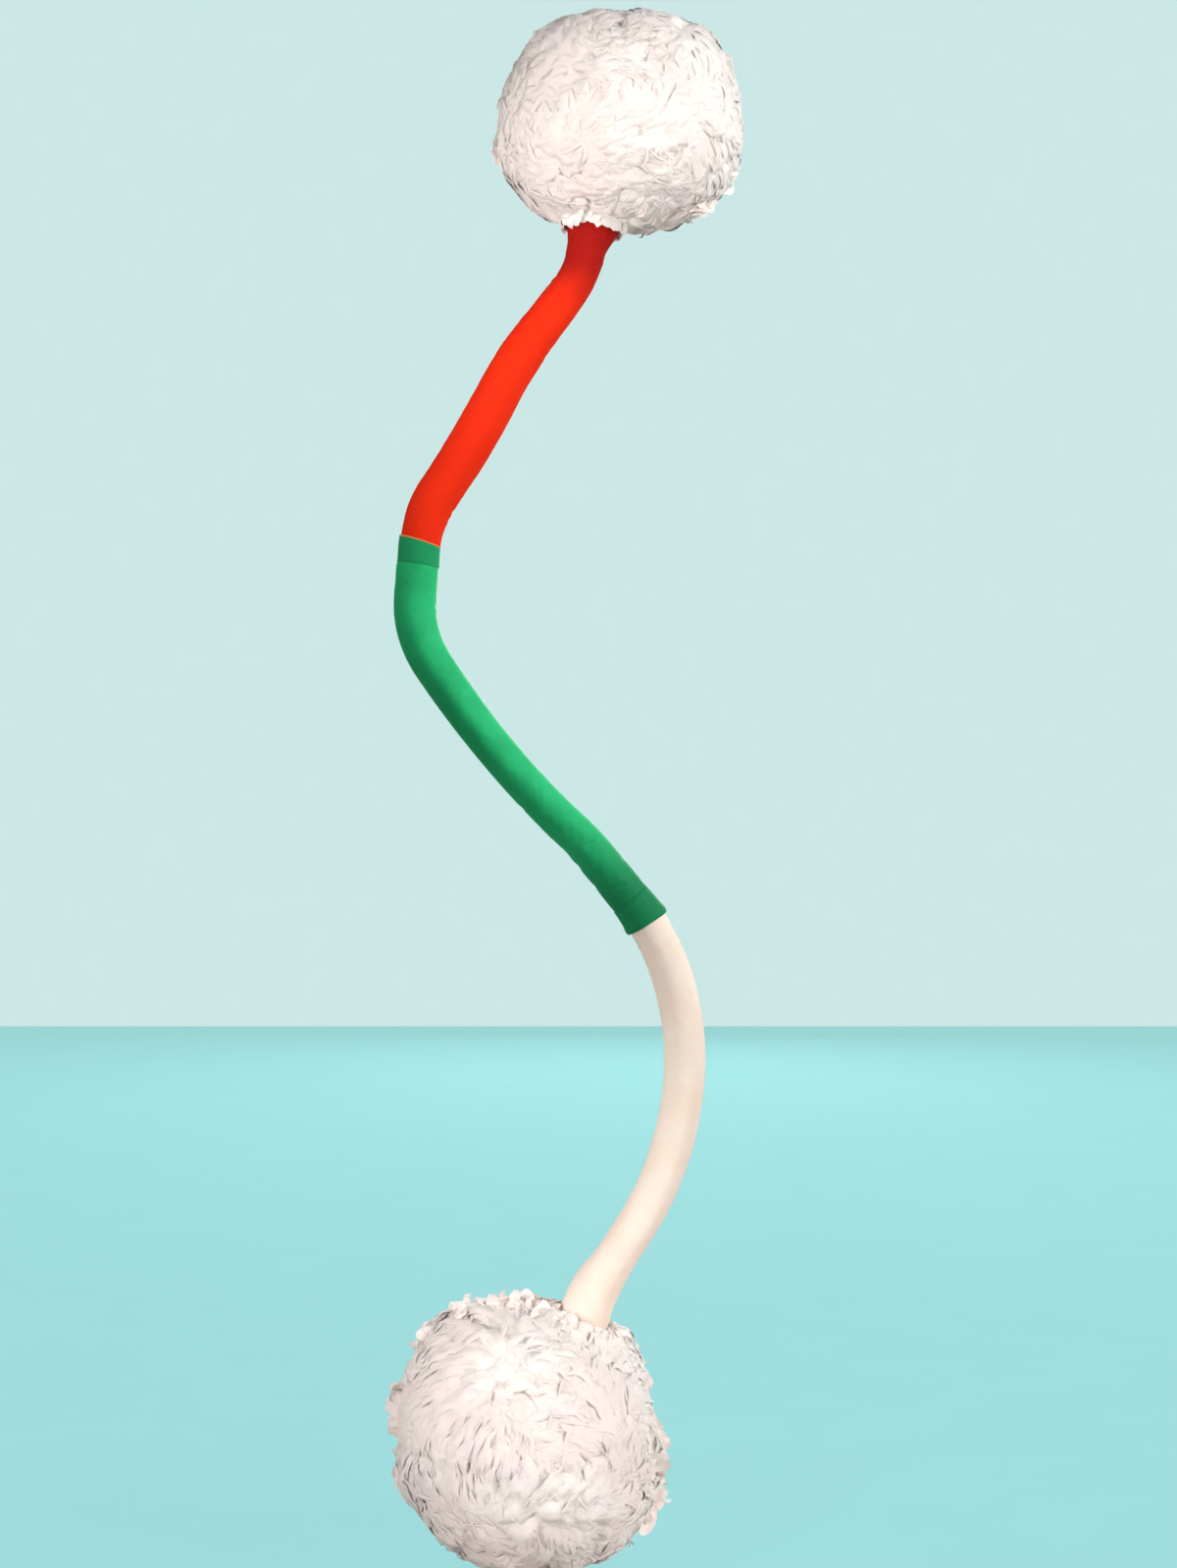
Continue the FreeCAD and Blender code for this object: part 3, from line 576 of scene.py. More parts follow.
# Radii are keyed by station; a crease is a soft tuck across the cloth at a station and an angle,
# in degrees from the right-hand side toward the back; a bulge is where the cloth stands out.
sleeves = {
    "green": {
        "from": lowerSeam, "to": upperSeam,
        "radii": [(lowerSeam, 0.0126), (lowerSeam + 0.020, 0.0128), (lowerSeam + 0.050, 0.0126),
                  (0.0, 0.0124), (0.070, 0.0126), (upperSeam, 0.0122)],
        "creases": [(0.056, -68, 0.0015, 28, 0.00060), (0.0445, -71, 0.0012, 20, 0.00050),
                    (0.062, -40, 0.0014, 24, 0.00030), (-0.081, -70, 0.0013, 28, 0.00060),
                    (-0.078, -53, 0.0012, 22, 0.00040), (-0.1125, -79, 0.0014, 26, 0.00050),
                    (-0.087, 195, 0.0024, 34, 0.00035), (0.096, 10, 0.0017, 34, 0.00020),
                    (0.103, 0, 0.0015, 30, 0.00020), (0.020, 120, 0.0020, 26, 0.00025)],
        "bulges": [(0.108, 180, 0.030, 70, 0.0018), (0.108, 0, 0.030, 70, -0.0012),
                   (-0.015, 180, 0.070, 60, -0.0012)],
        "seed": 4, "push": 2.2, "spare": -0.012, "most": 0.0008,
    },
    "red": {
        "from": upperSeam, "to": topEnd,
        "radii": [(upperSeam, 0.0124), (upperSeam + 0.030, 0.0134), (upperSeam + 0.075, 0.0138),
                  (upperSeam + 0.118, 0.0136), (upperSeam + 0.158, 0.0126), (topEnd - 0.032, 0.0120),
                  (topEnd - 0.016, 0.0122), (topEnd, 0.0152)],
        "bulges": [(topEnd - 0.004, 185, 0.013, 60, 0.0016), (topEnd - 0.024, 0, 0.016, 60, -0.0010)],
        "creases": [(marks["top_neck_bend"] + 0.018, 190, 0.0016, 30, 0.00022),
                    (marks["top_neck_bend"] + 0.011, 200, 0.0015, 26, 0.00018),
                    (marks["top_neck_bend"] - 0.020, 20, 0.0018, 30, 0.00018),
                    (upperSeam + 0.020, 15, 0.0016, 26, 0.00015)],
        "seed": 9, "push": 2.2, "spare": -0.006, "most": 0.0005,
    },
    "cream": {
        "from": bottomEnd, "to": lowerSeam,
        "bulges": [(bottomEnd + 0.014, 180, 0.017, 60, 0.0020)],
        "radii": [(bottomEnd, 0.0152), (bottomEnd + 0.014, 0.0142), (bottomEnd + 0.050, 0.0124),
                  (bottomEnd + 0.120, 0.0127), (bottomEnd + 0.190, 0.0126), (lowerSeam, 0.0120)],
        "creases": [(marks["bottom_neck_bend"] + 0.012, 170, 0.0016, 32, 0.00030),
                    (marks["bottom_neck_bend"] - 0.012, 185, 0.0016, 30, 0.00030),
                    (lowerSeam - 0.016, 180, 0.0016, 30, 0.00025)],
        "seed": 2, "push": 2.2, "spare": -0.006, "most": 0.0005,
    },
}
sleeveRules = {"wall": 0.0008, "edge": 0.00002, "step": 0.0008, "around": 96, "fill": 0.9,
               "seamAngle": 90.0, "seamWidth": 0.0016, "seamHeight": 0.00030, "seamRadius": 0.0125,
               "grooveWidth": 0.0003, "grooveDepth": 1.2}
creaseRules = {"slant": 0.0022, "away": 1.9, "ahead": 0.55, "behind": 0.45}
settleRules = {"step": 0.003, "around": 32, "rough": 0.00006, "heldRows": 2, "quality": 6, "mass": 0.15,
               "stretch": 18, "shear": 6, "bending": 0.08, "frames": 20, "levelled": 0.8, "fade": 0.012,
               "smoothed": 3}


def wrapped(angle):
    return (angle + math.pi) % fullTurn - math.pi


def reachFrom(angles, facing, spread):
    return wrapped(angles - math.radians(facing)) / math.radians(spread)


def bulgeAt(settings, stations, angles):
    total = np.zeros((len(stations), len(angles)))
    for at, facing, length, spread, height in settings["bulges"]:
        reach = reachFrom(angles, facing, spread)
        total += height * np.exp(-((stations[:, None] - at) / length) ** 2 - reach[None, :] ** 2)
    return total


# The sleeve's radius as it was cut and sewn: width, tucks and the welt of the back seam.
def sewnRadius(settings, stations, angles):
    rules = sleeveRules
    radius = smoothTable(stations, settings["radii"])[:, None] * np.ones((1, len(angles)))
    for at, facing, length, spread, depth in settings["creases"]:
        reach = reachFrom(angles, facing, spread)
        slant = (stations[:, None] - at) + creaseRules["slant"] * reach[None, :]
        away = creaseRules["away"] * length
        dip = np.exp(-(slant / length) ** 2) - creaseRules["ahead"] * np.exp(-((slant - away) / length) ** 2)
        dip = dip - creaseRules["behind"] * np.exp(-((slant + away) / length) ** 2)
        radius -= depth * dip * np.exp(-reach ** 2)[None, :]
    radius += bulgeAt(settings, stations, angles)
    across = wrapped(angles - math.radians(rules["seamAngle"])) * rules["seamRadius"]
    welt = np.exp(-(across / rules["seamWidth"]) ** 4) * rules["seamHeight"]
    groove = np.exp(-(across / rules["grooveWidth"]) ** 2) * rules["seamHeight"] * rules["grooveDepth"]
    return radius + (welt - groove)[None, :]


# How far the cloth moves out or in when it settles, on a grid of stations and angles.
def settle(name, settings):
    stiff = settleRules
    start, end = settings["from"], settings["to"]
    rows, columns = int((end - start) / stiff["step"]) + 1, stiff["around"]
    stations, angles = np.linspace(start, end, rows), turnsRound(columns)
    centre, side = framesAt(stations)[:2]
    out = outward(side, angles)
    radius = smoothTable(stations, settings["radii"])[:, None]
    noise = np.random.default_rng(settings["seed"]).normal(0, stiff["rough"], (rows, columns))
    points = centre[:, None, :] + out * (radius + noise)[:, :, None]
    tube = newPiece(name + "Settling", points, gridFaces(rows, columns, False))
    held = tube.vertex_groups.new(name="held")
    edge = stiff["heldRows"] * columns
    held.add(list(range(edge)) + list(range(rows * columns - edge, rows * columns)), 1.0, "REPLACE")
    cloth = tube.modifiers.new("Cloth", "CLOTH")
    rules = cloth.settings
    rules.quality = stiff["quality"]
    rules.mass = stiff["mass"]
    rules.tension_stiffness = rules.compression_stiffness = stiff["stretch"]
    rules.shear_stiffness = stiff["shear"]
    rules.bending_stiffness = stiff["bending"]
    rules.shrink_min = settings["spare"]
    rules.use_pressure = True
    rules.uniform_pressure_force = settings["push"]
    rules.vertex_group_mass = "held"
    rules.effector_weights.gravity = 0.0
    cloth.collision_settings.use_collision = False
    cloth.point_cache.frame_start, cloth.point_cache.frame_end = 1, stiff["frames"]
    for step in range(1, stiff["frames"] + 1):
        scene.frame_set(step)
    settled = tube.evaluated_get(bpy.context.evaluated_depsgraph_get()).to_mesh()
    flat = np.zeros(rows * columns * 3, np.float32)
    settled.vertices.foreach_get("co", flat)
    moved = ((flat.reshape(rows, columns, 3) - centre[:, None, :]) * out).sum(axis=2) - radius
    scene.frame_set(1)
    bpy.data.objects.remove(tube)
    print(name, "settled: moved", round(float(np.abs(moved).max()) / mm, 2), "mm")
    moved -= np.median(moved, axis=1)[:, None] * stiff["levelled"]
    moved = np.tanh(moved / settings["most"]) * settings["most"]
    fade = np.clip(np.minimum(stations - start, end - stations) / stiff["fade"], 0, 1)
    return stations, moved * fade[:, None]


settledCloth = {name: settle(name, settings) for name, settings in sleeves.items()}


# The settled movement read at any stations and angles, smoothed between the grid's points.
def settledAt(name, stations, angles):
    grid, moved = settledCloth[name]
    turns = np.append(turnsRound(moved.shape[1]), fullTurn)
    closed = np.concatenate([moved, moved[:, :1]], axis=1)
    across = np.array([np.interp(angles % fullTurn, turns, row) for row in closed])
    read = np.array([np.interp(stations, grid, across[:, column]) for column in range(len(angles))]).T
    for _ in range(settleRules["smoothed"]):
        read = (np.roll(read, 1, axis=1) + 2 * read + np.roll(read, -1, axis=1)) / 4
    return read


def clothRadius(name):
    def radiusAt(stations, angles):
        return sewnRadius(sleeves[name], stations, angles) + settledAt(name, stations, angles)
    return radiusAt


# The knuckle that each sleeve spans and the bodies on its two sides; the green one is two halves that meet in
# its middle.
bends = {
    "upper": {"bodies": ("grip", "red_arm"), "joint": "upper_bend", "before": -0.026, "after": 0.008},
    "topNeck": {"bodies": ("red_arm", "top_neck"), "joint": "top_neck_bend",
                "before": -0.022, "after": 0.024},
    "lower": {"bodies": ("grip", "cream_arm"), "joint": "lower_bend", "before": 0.022, "after": -0.014},
    "bottomNeck": {"bodies": ("cream_arm", "bottom_neck"), "joint": "bottom_neck_bend",
                   "before": 0.024, "after": -0.024},
}


def bendOver(piece, bend):
    middle = marks[bend["joint"]]
    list(bend["bodies"])
    pointOnLine(middle + bend["before"])
    pointOnLine(middle + bend["after"])
    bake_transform(piece)


def finishSoft(piece, settings, material, slot, fill):
    piece.data.materials.append(material)
    bendOver(piece, bends[settings["bend"]])
    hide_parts(*settings["nodes"])


# Rounded tells whether the cloth's start and end have a soft lip.
sleevePieces = {
    "redSleeve": {"cloth": "red", "ends": (upperSeam, topEnd), "rounded": (False, True), "bend": "topNeck",
                  "nodes": ["red_sleeve", "top_neck_bend_cover", "top_neck_sleeve"]},
    "greenSleeveUpper": {"cloth": "green", "ends": (0.0, upperSeam), "rounded": (False, True),
                         "bend": "upper",
                         "nodes": ["green_grip_sleeve", "upper_bend_cover", "green_upper_cuff"]},
    "greenSleeveLower": {"cloth": "green", "ends": (lowerSeam, 0.0), "rounded": (True, False),
                         "bend": "lower", "nodes": ["lower_bend_cover", "green_lower_cuff"]},
    "creamSleeve": {"cloth": "cream", "ends": (bottomEnd, lowerSeam), "rounded": (True, False),
                    "bend": "bottomNeck", "nodes": ["cream_sleeve", "bottom_neck_bend_cover",
                                                    "bottom_neck_sleeve"]},
}
for label, settings in sleevePieces.items():
    section = sleeveSection(*settings["ends"], *settings["rounded"])
    piece = sweptRing(label, section, clothRadius(settings["cloth"]), sleeveRules["around"])
    finishSoft(piece, settings, cloths[settings["cloth"]], settings["cloth"] + "_cloth", sleeveRules["fill"])
print("sleeves:", len(sleevePieces))


# Gaps are how far the foam stops short at a seam and at a pom.
foamRules = {"under": 0.00115, "bore": 0.0062, "knuckleBore": 0.0084, "knuckleReach": 0.026, "taper": 1.5,
             "step": 0.0025, "around": 48, "seamGap": 0.0003, "endGap": 0.0005, "fill": 1.0}
seamGap, endGap = foamRules["seamGap"], foamRules["endGap"]
foamPieces = {
    "redFoam": {"cloth": "red", "ends": (upperSeam + seamGap, topEnd - endGap), "bend": "topNeck",
                "nodes": ["red_foam", "top_neck_foam"]},
    "greenFoamUpper": {"cloth": "green", "ends": (0.0, upperSeam - seamGap), "bend": "upper",
                       "nodes": ["grip_foam"]},
    "greenFoamLower": {"cloth": "green", "ends": (lowerSeam + seamGap, 0.0), "bend": "lower", "nodes": []},
    "creamFoam": {"cloth": "cream", "ends": (bottomEnd + endGap, lowerSeam - seamGap), "bend": "bottomNeck",
                  "nodes": ["cream_foam", "bottom_neck_foam"]},
}


# The foam fills the cloth as it lies, creases and bulges too, down to its bore.
def foamRing(label, settings):
    rules = foamRules
    start, end = settings["ends"]
    stations = np.linspace(start, end, int(abs(end - start) / rules["step"]) + 1)
    middle = marks[bends[settings["bend"]]["joint"]]
    far = np.abs(stations - middle) / rules["knuckleReach"]
    reach = np.clip(rules["taper"] - far * rules["taper"], 0, 1)
    bore = rules["bore"] + (rules["knuckleBore"] - rules["bore"]) * reach
    section = [(at, 0.0) for at in stations] + [(at, 0.0) for at in stations[::-1]]

    def radiusAt(rows, angles):
        outer = clothRadius(settings["cloth"])(rows[:len(stations)], angles) - rules["under"]
        return np.concatenate([outer, bore[::-1, None] * np.ones((1, len(angles)))])

    return sweptRing(label, section, radiusAt, rules["around"])


for label, settings in foamPieces.items():
    finishSoft(foamRing(label, settings), settings, foamCells, "foam", foamRules["fill"])
print("foam:", len(foamPieces))


# The section is given as distance back from the sleeve's edge and height over the sleeve.
hems = {
    "upperHem": {"edge": upperSeam, "way": -1, "body": "red_arm", "node": "upper_hem", "cloth": "greenHem",
                 "section": [(-0.0004, 0.0000), (-0.0002, 0.0003), (0.0003, 0.0005), (0.0035, 0.00045),
                             (0.0070, 0.00036), (0.0105, 0.00036), (0.0130, 0.00038), (0.0137, 0.00030),
                             (0.0140, 0.00010), (0.0137, -0.0002), (0.0070, -0.0002), (0.0002, -0.0002)],
                 "ripple": 0.00008},
    "lowerHem": {"edge": lowerSeam, "way": 1, "body": "cream_arm", "node": "lower_hem", "cloth": "green",
                 "section": [(-0.0016, -0.0002), (-0.0019, 0.0002), (-0.0017, 0.0008), (-0.0010, 0.0013),
                             (0.0000, 0.00155), (0.0014, 0.00155), (0.0030, 0.00125), (0.0044, 0.00090),
                             (0.0070, 0.00062), (0.0105, 0.00040), (0.0138, 0.00022), (0.0158, 0.00012),
                             (0.0166, 0.00002), (0.0164, -0.0003), (0.0080, -0.0003), (0.0005, -0.0003),
                             (-0.0008, -0.0004)],
                 "ripple": 0.00022},
}
hemRules = {"step": 0.0016, "around": 96, "inside": 0.0001, "fill": 1.0,
            "waves": [(5, 1.3, 1.0), (11, 0.4, 0.6), (23, 0.0, 0.4)]}


def hemRadius(settings):
    def radiusAt(stations, angles):
        inside = np.clip(stations, sleeves["green"]["from"] + hemRules["inside"],
                         sleeves["green"]["to"] - hemRules["inside"])
        waved = sum(high * np.sin(count * angles + start) for count, start, high in hemRules["waves"])
        return clothRadius("green")(inside, angles) + np.abs(waved[None, :] * settings["ripple"] * 0.5)
    return radiusAt


for label, settings in hems.items():
    rows = []
    points = settings["section"]
    for (backA, upA), (backB, upB) in zip(points, points[1:] + points[:1]):
        pieces = max(1, int(abs(backB - backA) / hemRules["step"]))
        for share in np.arange(pieces) / pieces:
            rows.append((settings["edge"] + settings["way"] * (backA + (backB - backA) * share),
                         upA + (upB - upA) * share))
    if settings["way"] < 0:
        rows = rows[::-1]
    band = sweptRing(label, rows, hemRadius(settings), hemRules["around"])
    band.data.materials.append(cloths[settings["cloth"]])
    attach(band, settings["body"])
    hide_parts(settings["node"])


piping = {"at": upperSeam + 0.0004, "radius": 0.00042, "over": 0.00030, "sides": 10, "around": 120,
          "inside": 0.0001, "twists": 40, "twistHeight": 0.00005}


def pipingRadius(stations, angles):
    under = np.full(len(stations), piping["at"] - piping["inside"])
    twist = piping["twistHeight"] * np.sin(piping["twists"] * angles)
    return sewnRadius(sleeves["green"], under, angles) + piping["over"] + twist[None, :]


cordRows = [(piping["at"] + piping["radius"] * math.sin(a), piping["radius"] * math.cos(a))
            for a in turnsRound(piping["sides"])]
cord = sweptRing("goldenPiping", cordRows, pipingRadius, piping["around"])
cord.data.materials.append(threads["gold"])
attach(cord, "red_arm")


# A geometry tree with its inputs, each with what it starts at, and its way out.
def startTree(name, inputs, result):
    tree = bpy.data.node_groups.new(name, "GeometryNodeTree")
    for label, (kind, start) in inputs.items():
        socket = tree.interface.new_socket(label, in_out="INPUT", socket_type="NodeSocket" + kind)
        if start is not None:
            socket.default_value = start
    tree.interface.new_socket(result, in_out="OUTPUT", socket_type="NodeSocketGeometry")
    bench = Bench(tree)
    return tree, bench, bench.node("NodeGroupInput")


def endTree(bench, given, geometry):
    solid = bench.node("GeometryNodeRealizeInstances", None, {0: geometry})
    solid = bench.node("GeometryNodeSetShadeSmooth", None, {0: solid})
    solid = bench.node("GeometryNodeSetMaterial", None, {0: solid, "Material": given.out("Material")})
    bench.node("NodeGroupOutput", None, {0: solid})


# Stitches along a line of points: small grains of thread, one every pitch.
def stitchTree(name):
    tree, bench, given = startTree(name, {
        "Line": ("Geometry", None), "Pitch": ("Float", 0.003), "Length": ("Float", 0.0021),
        "Thickness": ("Float", 0.0005), "Material": ("Material", None)}, "Stitches")
    curve = bench.node("GeometryNodeMeshToCurve", None, {0: given.out("Line")})
    places = bench.node("GeometryNodeCurveToPoints", {"mode": "LENGTH"},
                        {"Curve": curve, "Length": given.out("Pitch")})
    turned = bench.node("FunctionNodeAlignRotationToVector", {"axis": "Z"},
                        {"Vector": places.out("Tangent")})
    grain = bench.node("GeometryNodeMeshUVSphere", None, {"Segments": 6, "Rings": 5, "Radius": 0.5})
    size = bench.node("ShaderNodeCombineXYZ", None, {0: given.out("Thickness"), 1: given.out("Thickness"),
                                                     2: given.out("Length")})
    laid = bench.node("GeometryNodeInstanceOnPoints", None,
                      {"Points": places, "Instance": grain, "Rotation": turned, "Scale": size})
    endTree(bench, given, laid)
    return tree


# Runs a tree on a seed mesh and keeps the result as a plain mesh.
def grow(name, seed, tree, inputs):
    modifier = seed.modifiers.new("Grow", "NODES")
    modifier.node_group = tree
    for item in tree.interface.items_tree:
        if item.item_type == "SOCKET" and item.name in inputs:
            modifier[item.identifier] = inputs[item.name]
    bpy.context.view_layer.update()
    mesh = bpy.data.meshes.new_from_object(seed.evaluated_get(bpy.context.evaluated_depsgraph_get()))
    mesh.name = name
    bpy.data.objects.remove(seed)
    return addObject(name, mesh)


# Lines of the same number of points, as edges for a tree to follow.
def lineSeed(lines, loop):
    mesh = bpy.data.meshes.new("lines")
    count = len(lines[0])
    steps = [(i, (i + 1) % count) for i in range(count if loop else count - 1)]
    edges = [(first + start, last + start) for start in range(0, len(lines) * count, count)
             for first, last in steps]
    mesh.from_pydata(np.concatenate(lines).tolist(), edges, [])
    return addObject("lineSeed", mesh)


# Points over a sleeve at one angle, or round it at one station.
def overCloth(cloth, stations, angles, lift):
    centre, side, ahead = framesAt(stations)
    radiusAt = clothRadius(cloth)
    radius = np.array([radiusAt(stations[i:i + 1], angles[i:i + 1])[0, 0]
                       for i in range(len(stations))]) + lift
    out = np.cos(angles)[:, None] * side + np.sin(angles)[:, None] * backward
    return centre + out * radius[:, None] + ahead * slantAt(stations, angles)[:, None]


# Round the hems, at a station; and in two rows along the back seams, between two stations.
stitchRules = {"points": 180, "step": 0.0015, "away": (-6.5, 6.5), "backLift": 0.00006,
               "hem": {"Pitch": 0.0025, "Length": 0.0017, "Thickness": 0.00042},
               "back": {"Pitch": 0.0030, "Length": 0.0021, "Thickness": 0.00042}}
hemStitches = [
    ("upperHemStitches", upperSeam - 0.0125, 0.00036, "red_arm"),
    ("lowerHemStitches", lowerSeam + 0.0128, 0.00030, "cream_arm"),
]
backStitches = [
    ("redBackStitches", "red", upperSeam + 0.003, topEnd - 0.004, "topNeck"),
    ("greenBackStitchesUpper", "green", 0.0015, upperSeam - 0.0155, "upper"),
    ("greenBackStitchesLower", "green", lowerSeam + 0.0175, -0.0015, "lower"),
    ("creamBackStitches", "cream", bottomEnd + 0.004, lowerSeam - 0.004, "bottomNeck"),
]
stitching = stitchTree("stitchRow")


def sew(label, cloth, lines, loop, grain):
    row = grow(label, lineSeed(lines, loop), stitching,
               dict(stitchRules[grain], Material=threads[cloth + "Thread"]))
    cloth + "_cloth"
    return row


for label, station, lift, body in hemStitches:
    turns = turnsRound(stitchRules["points"])
    ring = overCloth("green", np.full(len(turns), station), turns, lift)
    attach(sew(label, "green", [ring], True, "hem"), body)
for label, cloth, start, end, bend in backStitches:
    stations = np.linspace(start, end, int((end - start) / stitchRules["step"]))
    lines = [overCloth(cloth, stations, np.full(len(stations), math.radians(sleeveRules["seamAngle"] + away)),
                       stitchRules["backLift"]) for away in stitchRules["away"]]
    bendOver(sew(label, cloth, lines, False, "back"), bends[bend])
print("hems and stitches:", len(hems) + 1 + len(hemStitches) + len(backStitches))


stripInputs = {
    "Roots": ("Geometry", None), "Flatness": ("Float", 0.14), "Wander": ("Float", 0.004),
    "Crimp": ("Float", 0.0004), "Crimps": ("Float", 3.0), "Tip": ("Float", 0.45), "Steps": ("Int", 7),
    "Sides": ("Int", 4), "Hug": ("Float", 1.0), "Ball": ("Object", None), "Material": ("Material", None)}
stripRules = {"rayLength": 0.2, "driftSize": 0.012, "driftPhase": 0.35, "taper": 6.0, "sink": 0.0016}


# A tree that grows strips from points on a ball: each starts at its root, climbs by its lift,
# leans over round the ball by its reach, and is a flat closed ribbon. Hug is how far it follows
# the ball's own lobes.
def stripTree(name):
    tree, bench, given = startTree(name, stripInputs, "Strips")
    rules = stripRules

    def stored(label):
        return bench.node("GeometryNodeInputNamedAttribute", {"data_type": "FLOAT_VECTOR"}, {"Name": label})

    def vector(operation, *values, out=0):
        return bench.node("ShaderNodeVectorMath", {"operation": operation}, dict(enumerate(values)), out)

    line = bench.node("GeometryNodeCurvePrimitiveLine", None, {"Start": (0, 0, 0), "End": (0, 0, 1)})
    line = bench.node("GeometryNodeResampleCurve", None, {"Curve": line, "Count": given.out("Steps")})
    laid = bench.node("GeometryNodeInstanceOnPoints", None, {"Points": given.out("Roots"), "Instance": line})
    curves = bench.node("GeometryNodeRealizeInstances", None, {0: laid})
    t = bench.node("GeometryNodeSplineParameter", None, None, "Factor")
    root, lean = stored("root"), stored("lean")
    size = bench.node("ShaderNodeSeparateXYZ", None, {0: stored("size")})
    form = bench.node("ShaderNodeSeparateXYZ", None, {0: stored("form")})
    reach, lift, curl = size.out("X"), size.out("Y"), size.out("Z")
    width, phase = form.out("X"), form.out("Y")
    distance = vector("LENGTH", root, out="Value")
    swing = reach * t
    facing = vector("NORMALIZE", root) * swing.of("COSINE") + lean * swing.of("SINE")
    ball = bench.node("GeometryNodeObjectInfo", None, {"Object": given.out("Ball")}, "Geometry")
    struck = bench.node("GeometryNodeRaycast", None, {
        "Target Geometry": ball, "Source Position": facing * rules["rayLength"],
        "Ray Direction": facing * -1.0, "Ray Length": rules["rayLength"]}, "Hit Position")
    surface = vector("LENGTH", struck, out="Value")
    distance = distance + (surface - rules["sink"] - distance) * given.out("Hug")
    wave = (t * given.out("Crimps") * fullTurn + phase * fullTurn).of("SINE")
    height = distance + lift * (2 * t - t * t) + curl * t * t * t + wave * given.out("Crimp") * t
    spot = facing * height
    drift = bench.node("ShaderNodeTexNoise", {"noise_dimensions": "4D"},
                       {"Vector": spot, "W": phase * rules["driftPhase"],
                        "Scale": 1.0 / rules["driftSize"], "Detail": 1.0}, "Color")
    drift = (drift - 0.5) * (given.out("Wander") * 2 * t)
    moved = bench.node("GeometryNodeSetPosition", None, {"Geometry": curves, "Position": spot + drift})
    tangent = bench.node("GeometryNodeInputTangent")
    edge = vector("CROSS_PRODUCT", tangent, facing + stored("press"))
    flat = vector("NORMALIZE", vector("CROSS_PRODUCT", edge, tangent))
    moved = bench.node("GeometryNodeSetCurveNormal", {"mode": "FREE"}, {"Curve": moved, "Normal": flat})
    moved = bench.node("GeometryNodeSetCurveTilt", None, {"Curve": moved, "Tilt": form.out("Z")})
    ring = bench.node("GeometryNodeCurvePrimitiveCircle", None,
                      {"Resolution": given.out("Sides"), "Radius": 0.5})
    squeeze = bench.node("ShaderNodeCombineXYZ", None, {0: given.out("Flatness"), 1: 1.0, 2: 1.0})
    ring = bench.node("GeometryNodeTransform", None, {"Geometry": ring, "Scale": squeeze})
    taper = width * (1 - t ** rules["taper"] * (1 - given.out("Tip")))
    endTree(bench, given, bench.node("GeometryNodeCurveToMesh", None, {
        "Curve": moved, "Profile Curve": ring, "Scale": taper, "Fill Caps": True}))
    return tree


# The outline is the ball's radius in mm in its rest place, by degrees from straight up toward +X; a
# tuft at the ball's edge is (direction, strips, length in mm, rise in mm).
poms = {
    "top": {
        "sign": 1, "side": 0.0735, "lumpy": 0.0012, "seed": 21, "collarHang": (0.0055, 0.0088),
        "outline": [(0, 65), (15, 69), (30, 71.5), (45, 74.5), (60, 75.5), (75, 74), (90, 73.5), (105, 75.5),
                    (120, 74), (135, 71), (150, 67), (165, 63), (180, 61.5), (195, 63), (210, 67.5),
                    (225, 73), (240, 76.5), (255, 79), (270, 77.5), (285, 75), (300, 75), (315, 75.5),
                    (330, 72.5), (345, 69.5)],
        "cover": 1900, "fluff": 3800, "wisps": 160, "lobes": 380,
        "tufts": [(118, 8, 5.0, 0.8), (258, 6, 4.0, 0.8), (135, 6, 4.0, 0.6), (20, 5, 4.0, 0.5)],
    },
    "bottom": {
        "sign": -1, "side": 0.0825, "lumpy": 0.0022, "seed": 34, "collarHang": (0.0015, 0.0042),
        "outline": [(0, 80), (15, 80), (30, 80), (45, 80), (60, 76), (75, 72.5), (90, 73), (105, 76.5),
                    (120, 82), (135, 83), (150, 82), (165, 82), (180, 82), (195, 82), (210, 82), (225, 83.5),
                    (240, 85), (255, 86), (270, 84), (285, 88), (300, 89), (315, 93), (330, 90), (345, 84)],
        "cover": 2100, "fluff": 4600, "wisps": 350, "lobes": 420,
        "tufts": [(344, 12, 5.0, 3.5), (351, 16, 5.0, 5.5), (358, 12, 5.0, 3.5), (283, 14, 6.0, 4.5),
                  (277, 8, 6.0, 3.5), (256, 10, 5.0, 3.0), (89, 3, 8.0, 8.0), (103, 9, 9.0, 6.0),
                  (113, 8, 10.0, 6.0), (119, 10, 14.0, 9.0), (60, 6, 5.0, 2.5), (315, 8, 5.0, 2.5),
                  (330, 8, 5.0, 2.5)],
    },
}
# Inner is the recess's profile, as distances across the shaft's axis and along it; lumps are waves
# over the ball, as (seed step, how many, fineness, share).
pomRules = {
    "hole": 0.0165, "mouthReach": 0.062, "apexTilt": 0.012, "coreInside": 0.0014, "coreRows": 160,
    "coreAround": 240, "ballTilt": 0.001, "lobeWidth": (0.0080, 0.0130), "lobeHigh": (0.0018, 0.0034),
    "lobeSink": 0.0012, "lobeSpread": 1.1, "waveSpread": (0.7, 1.4),
    "inner": [(0.004, 0.0208), (0.0113, 0.0208), (0.0113, 0.0139), (0.0224, 0.0139), (0.0224, -0.0144),
              (0.0165, -0.0144), (0.0165, -0.0344), (0.0165, -0.0524)],
    "lumps": [(0, 9, 7.0, 0.5), (1, 12, 19.0, 0.4), (2, 16, 42.0, 0.35)],
    "combWaves": (7, 5.5), "spread": 0.35, "neckClear": 17, "neckNear": (0.86, 0.08),
}
seedSteps = {"strips": 5, "shade": 5, "comb": 40, "lobes": 60, "tufts": 77}
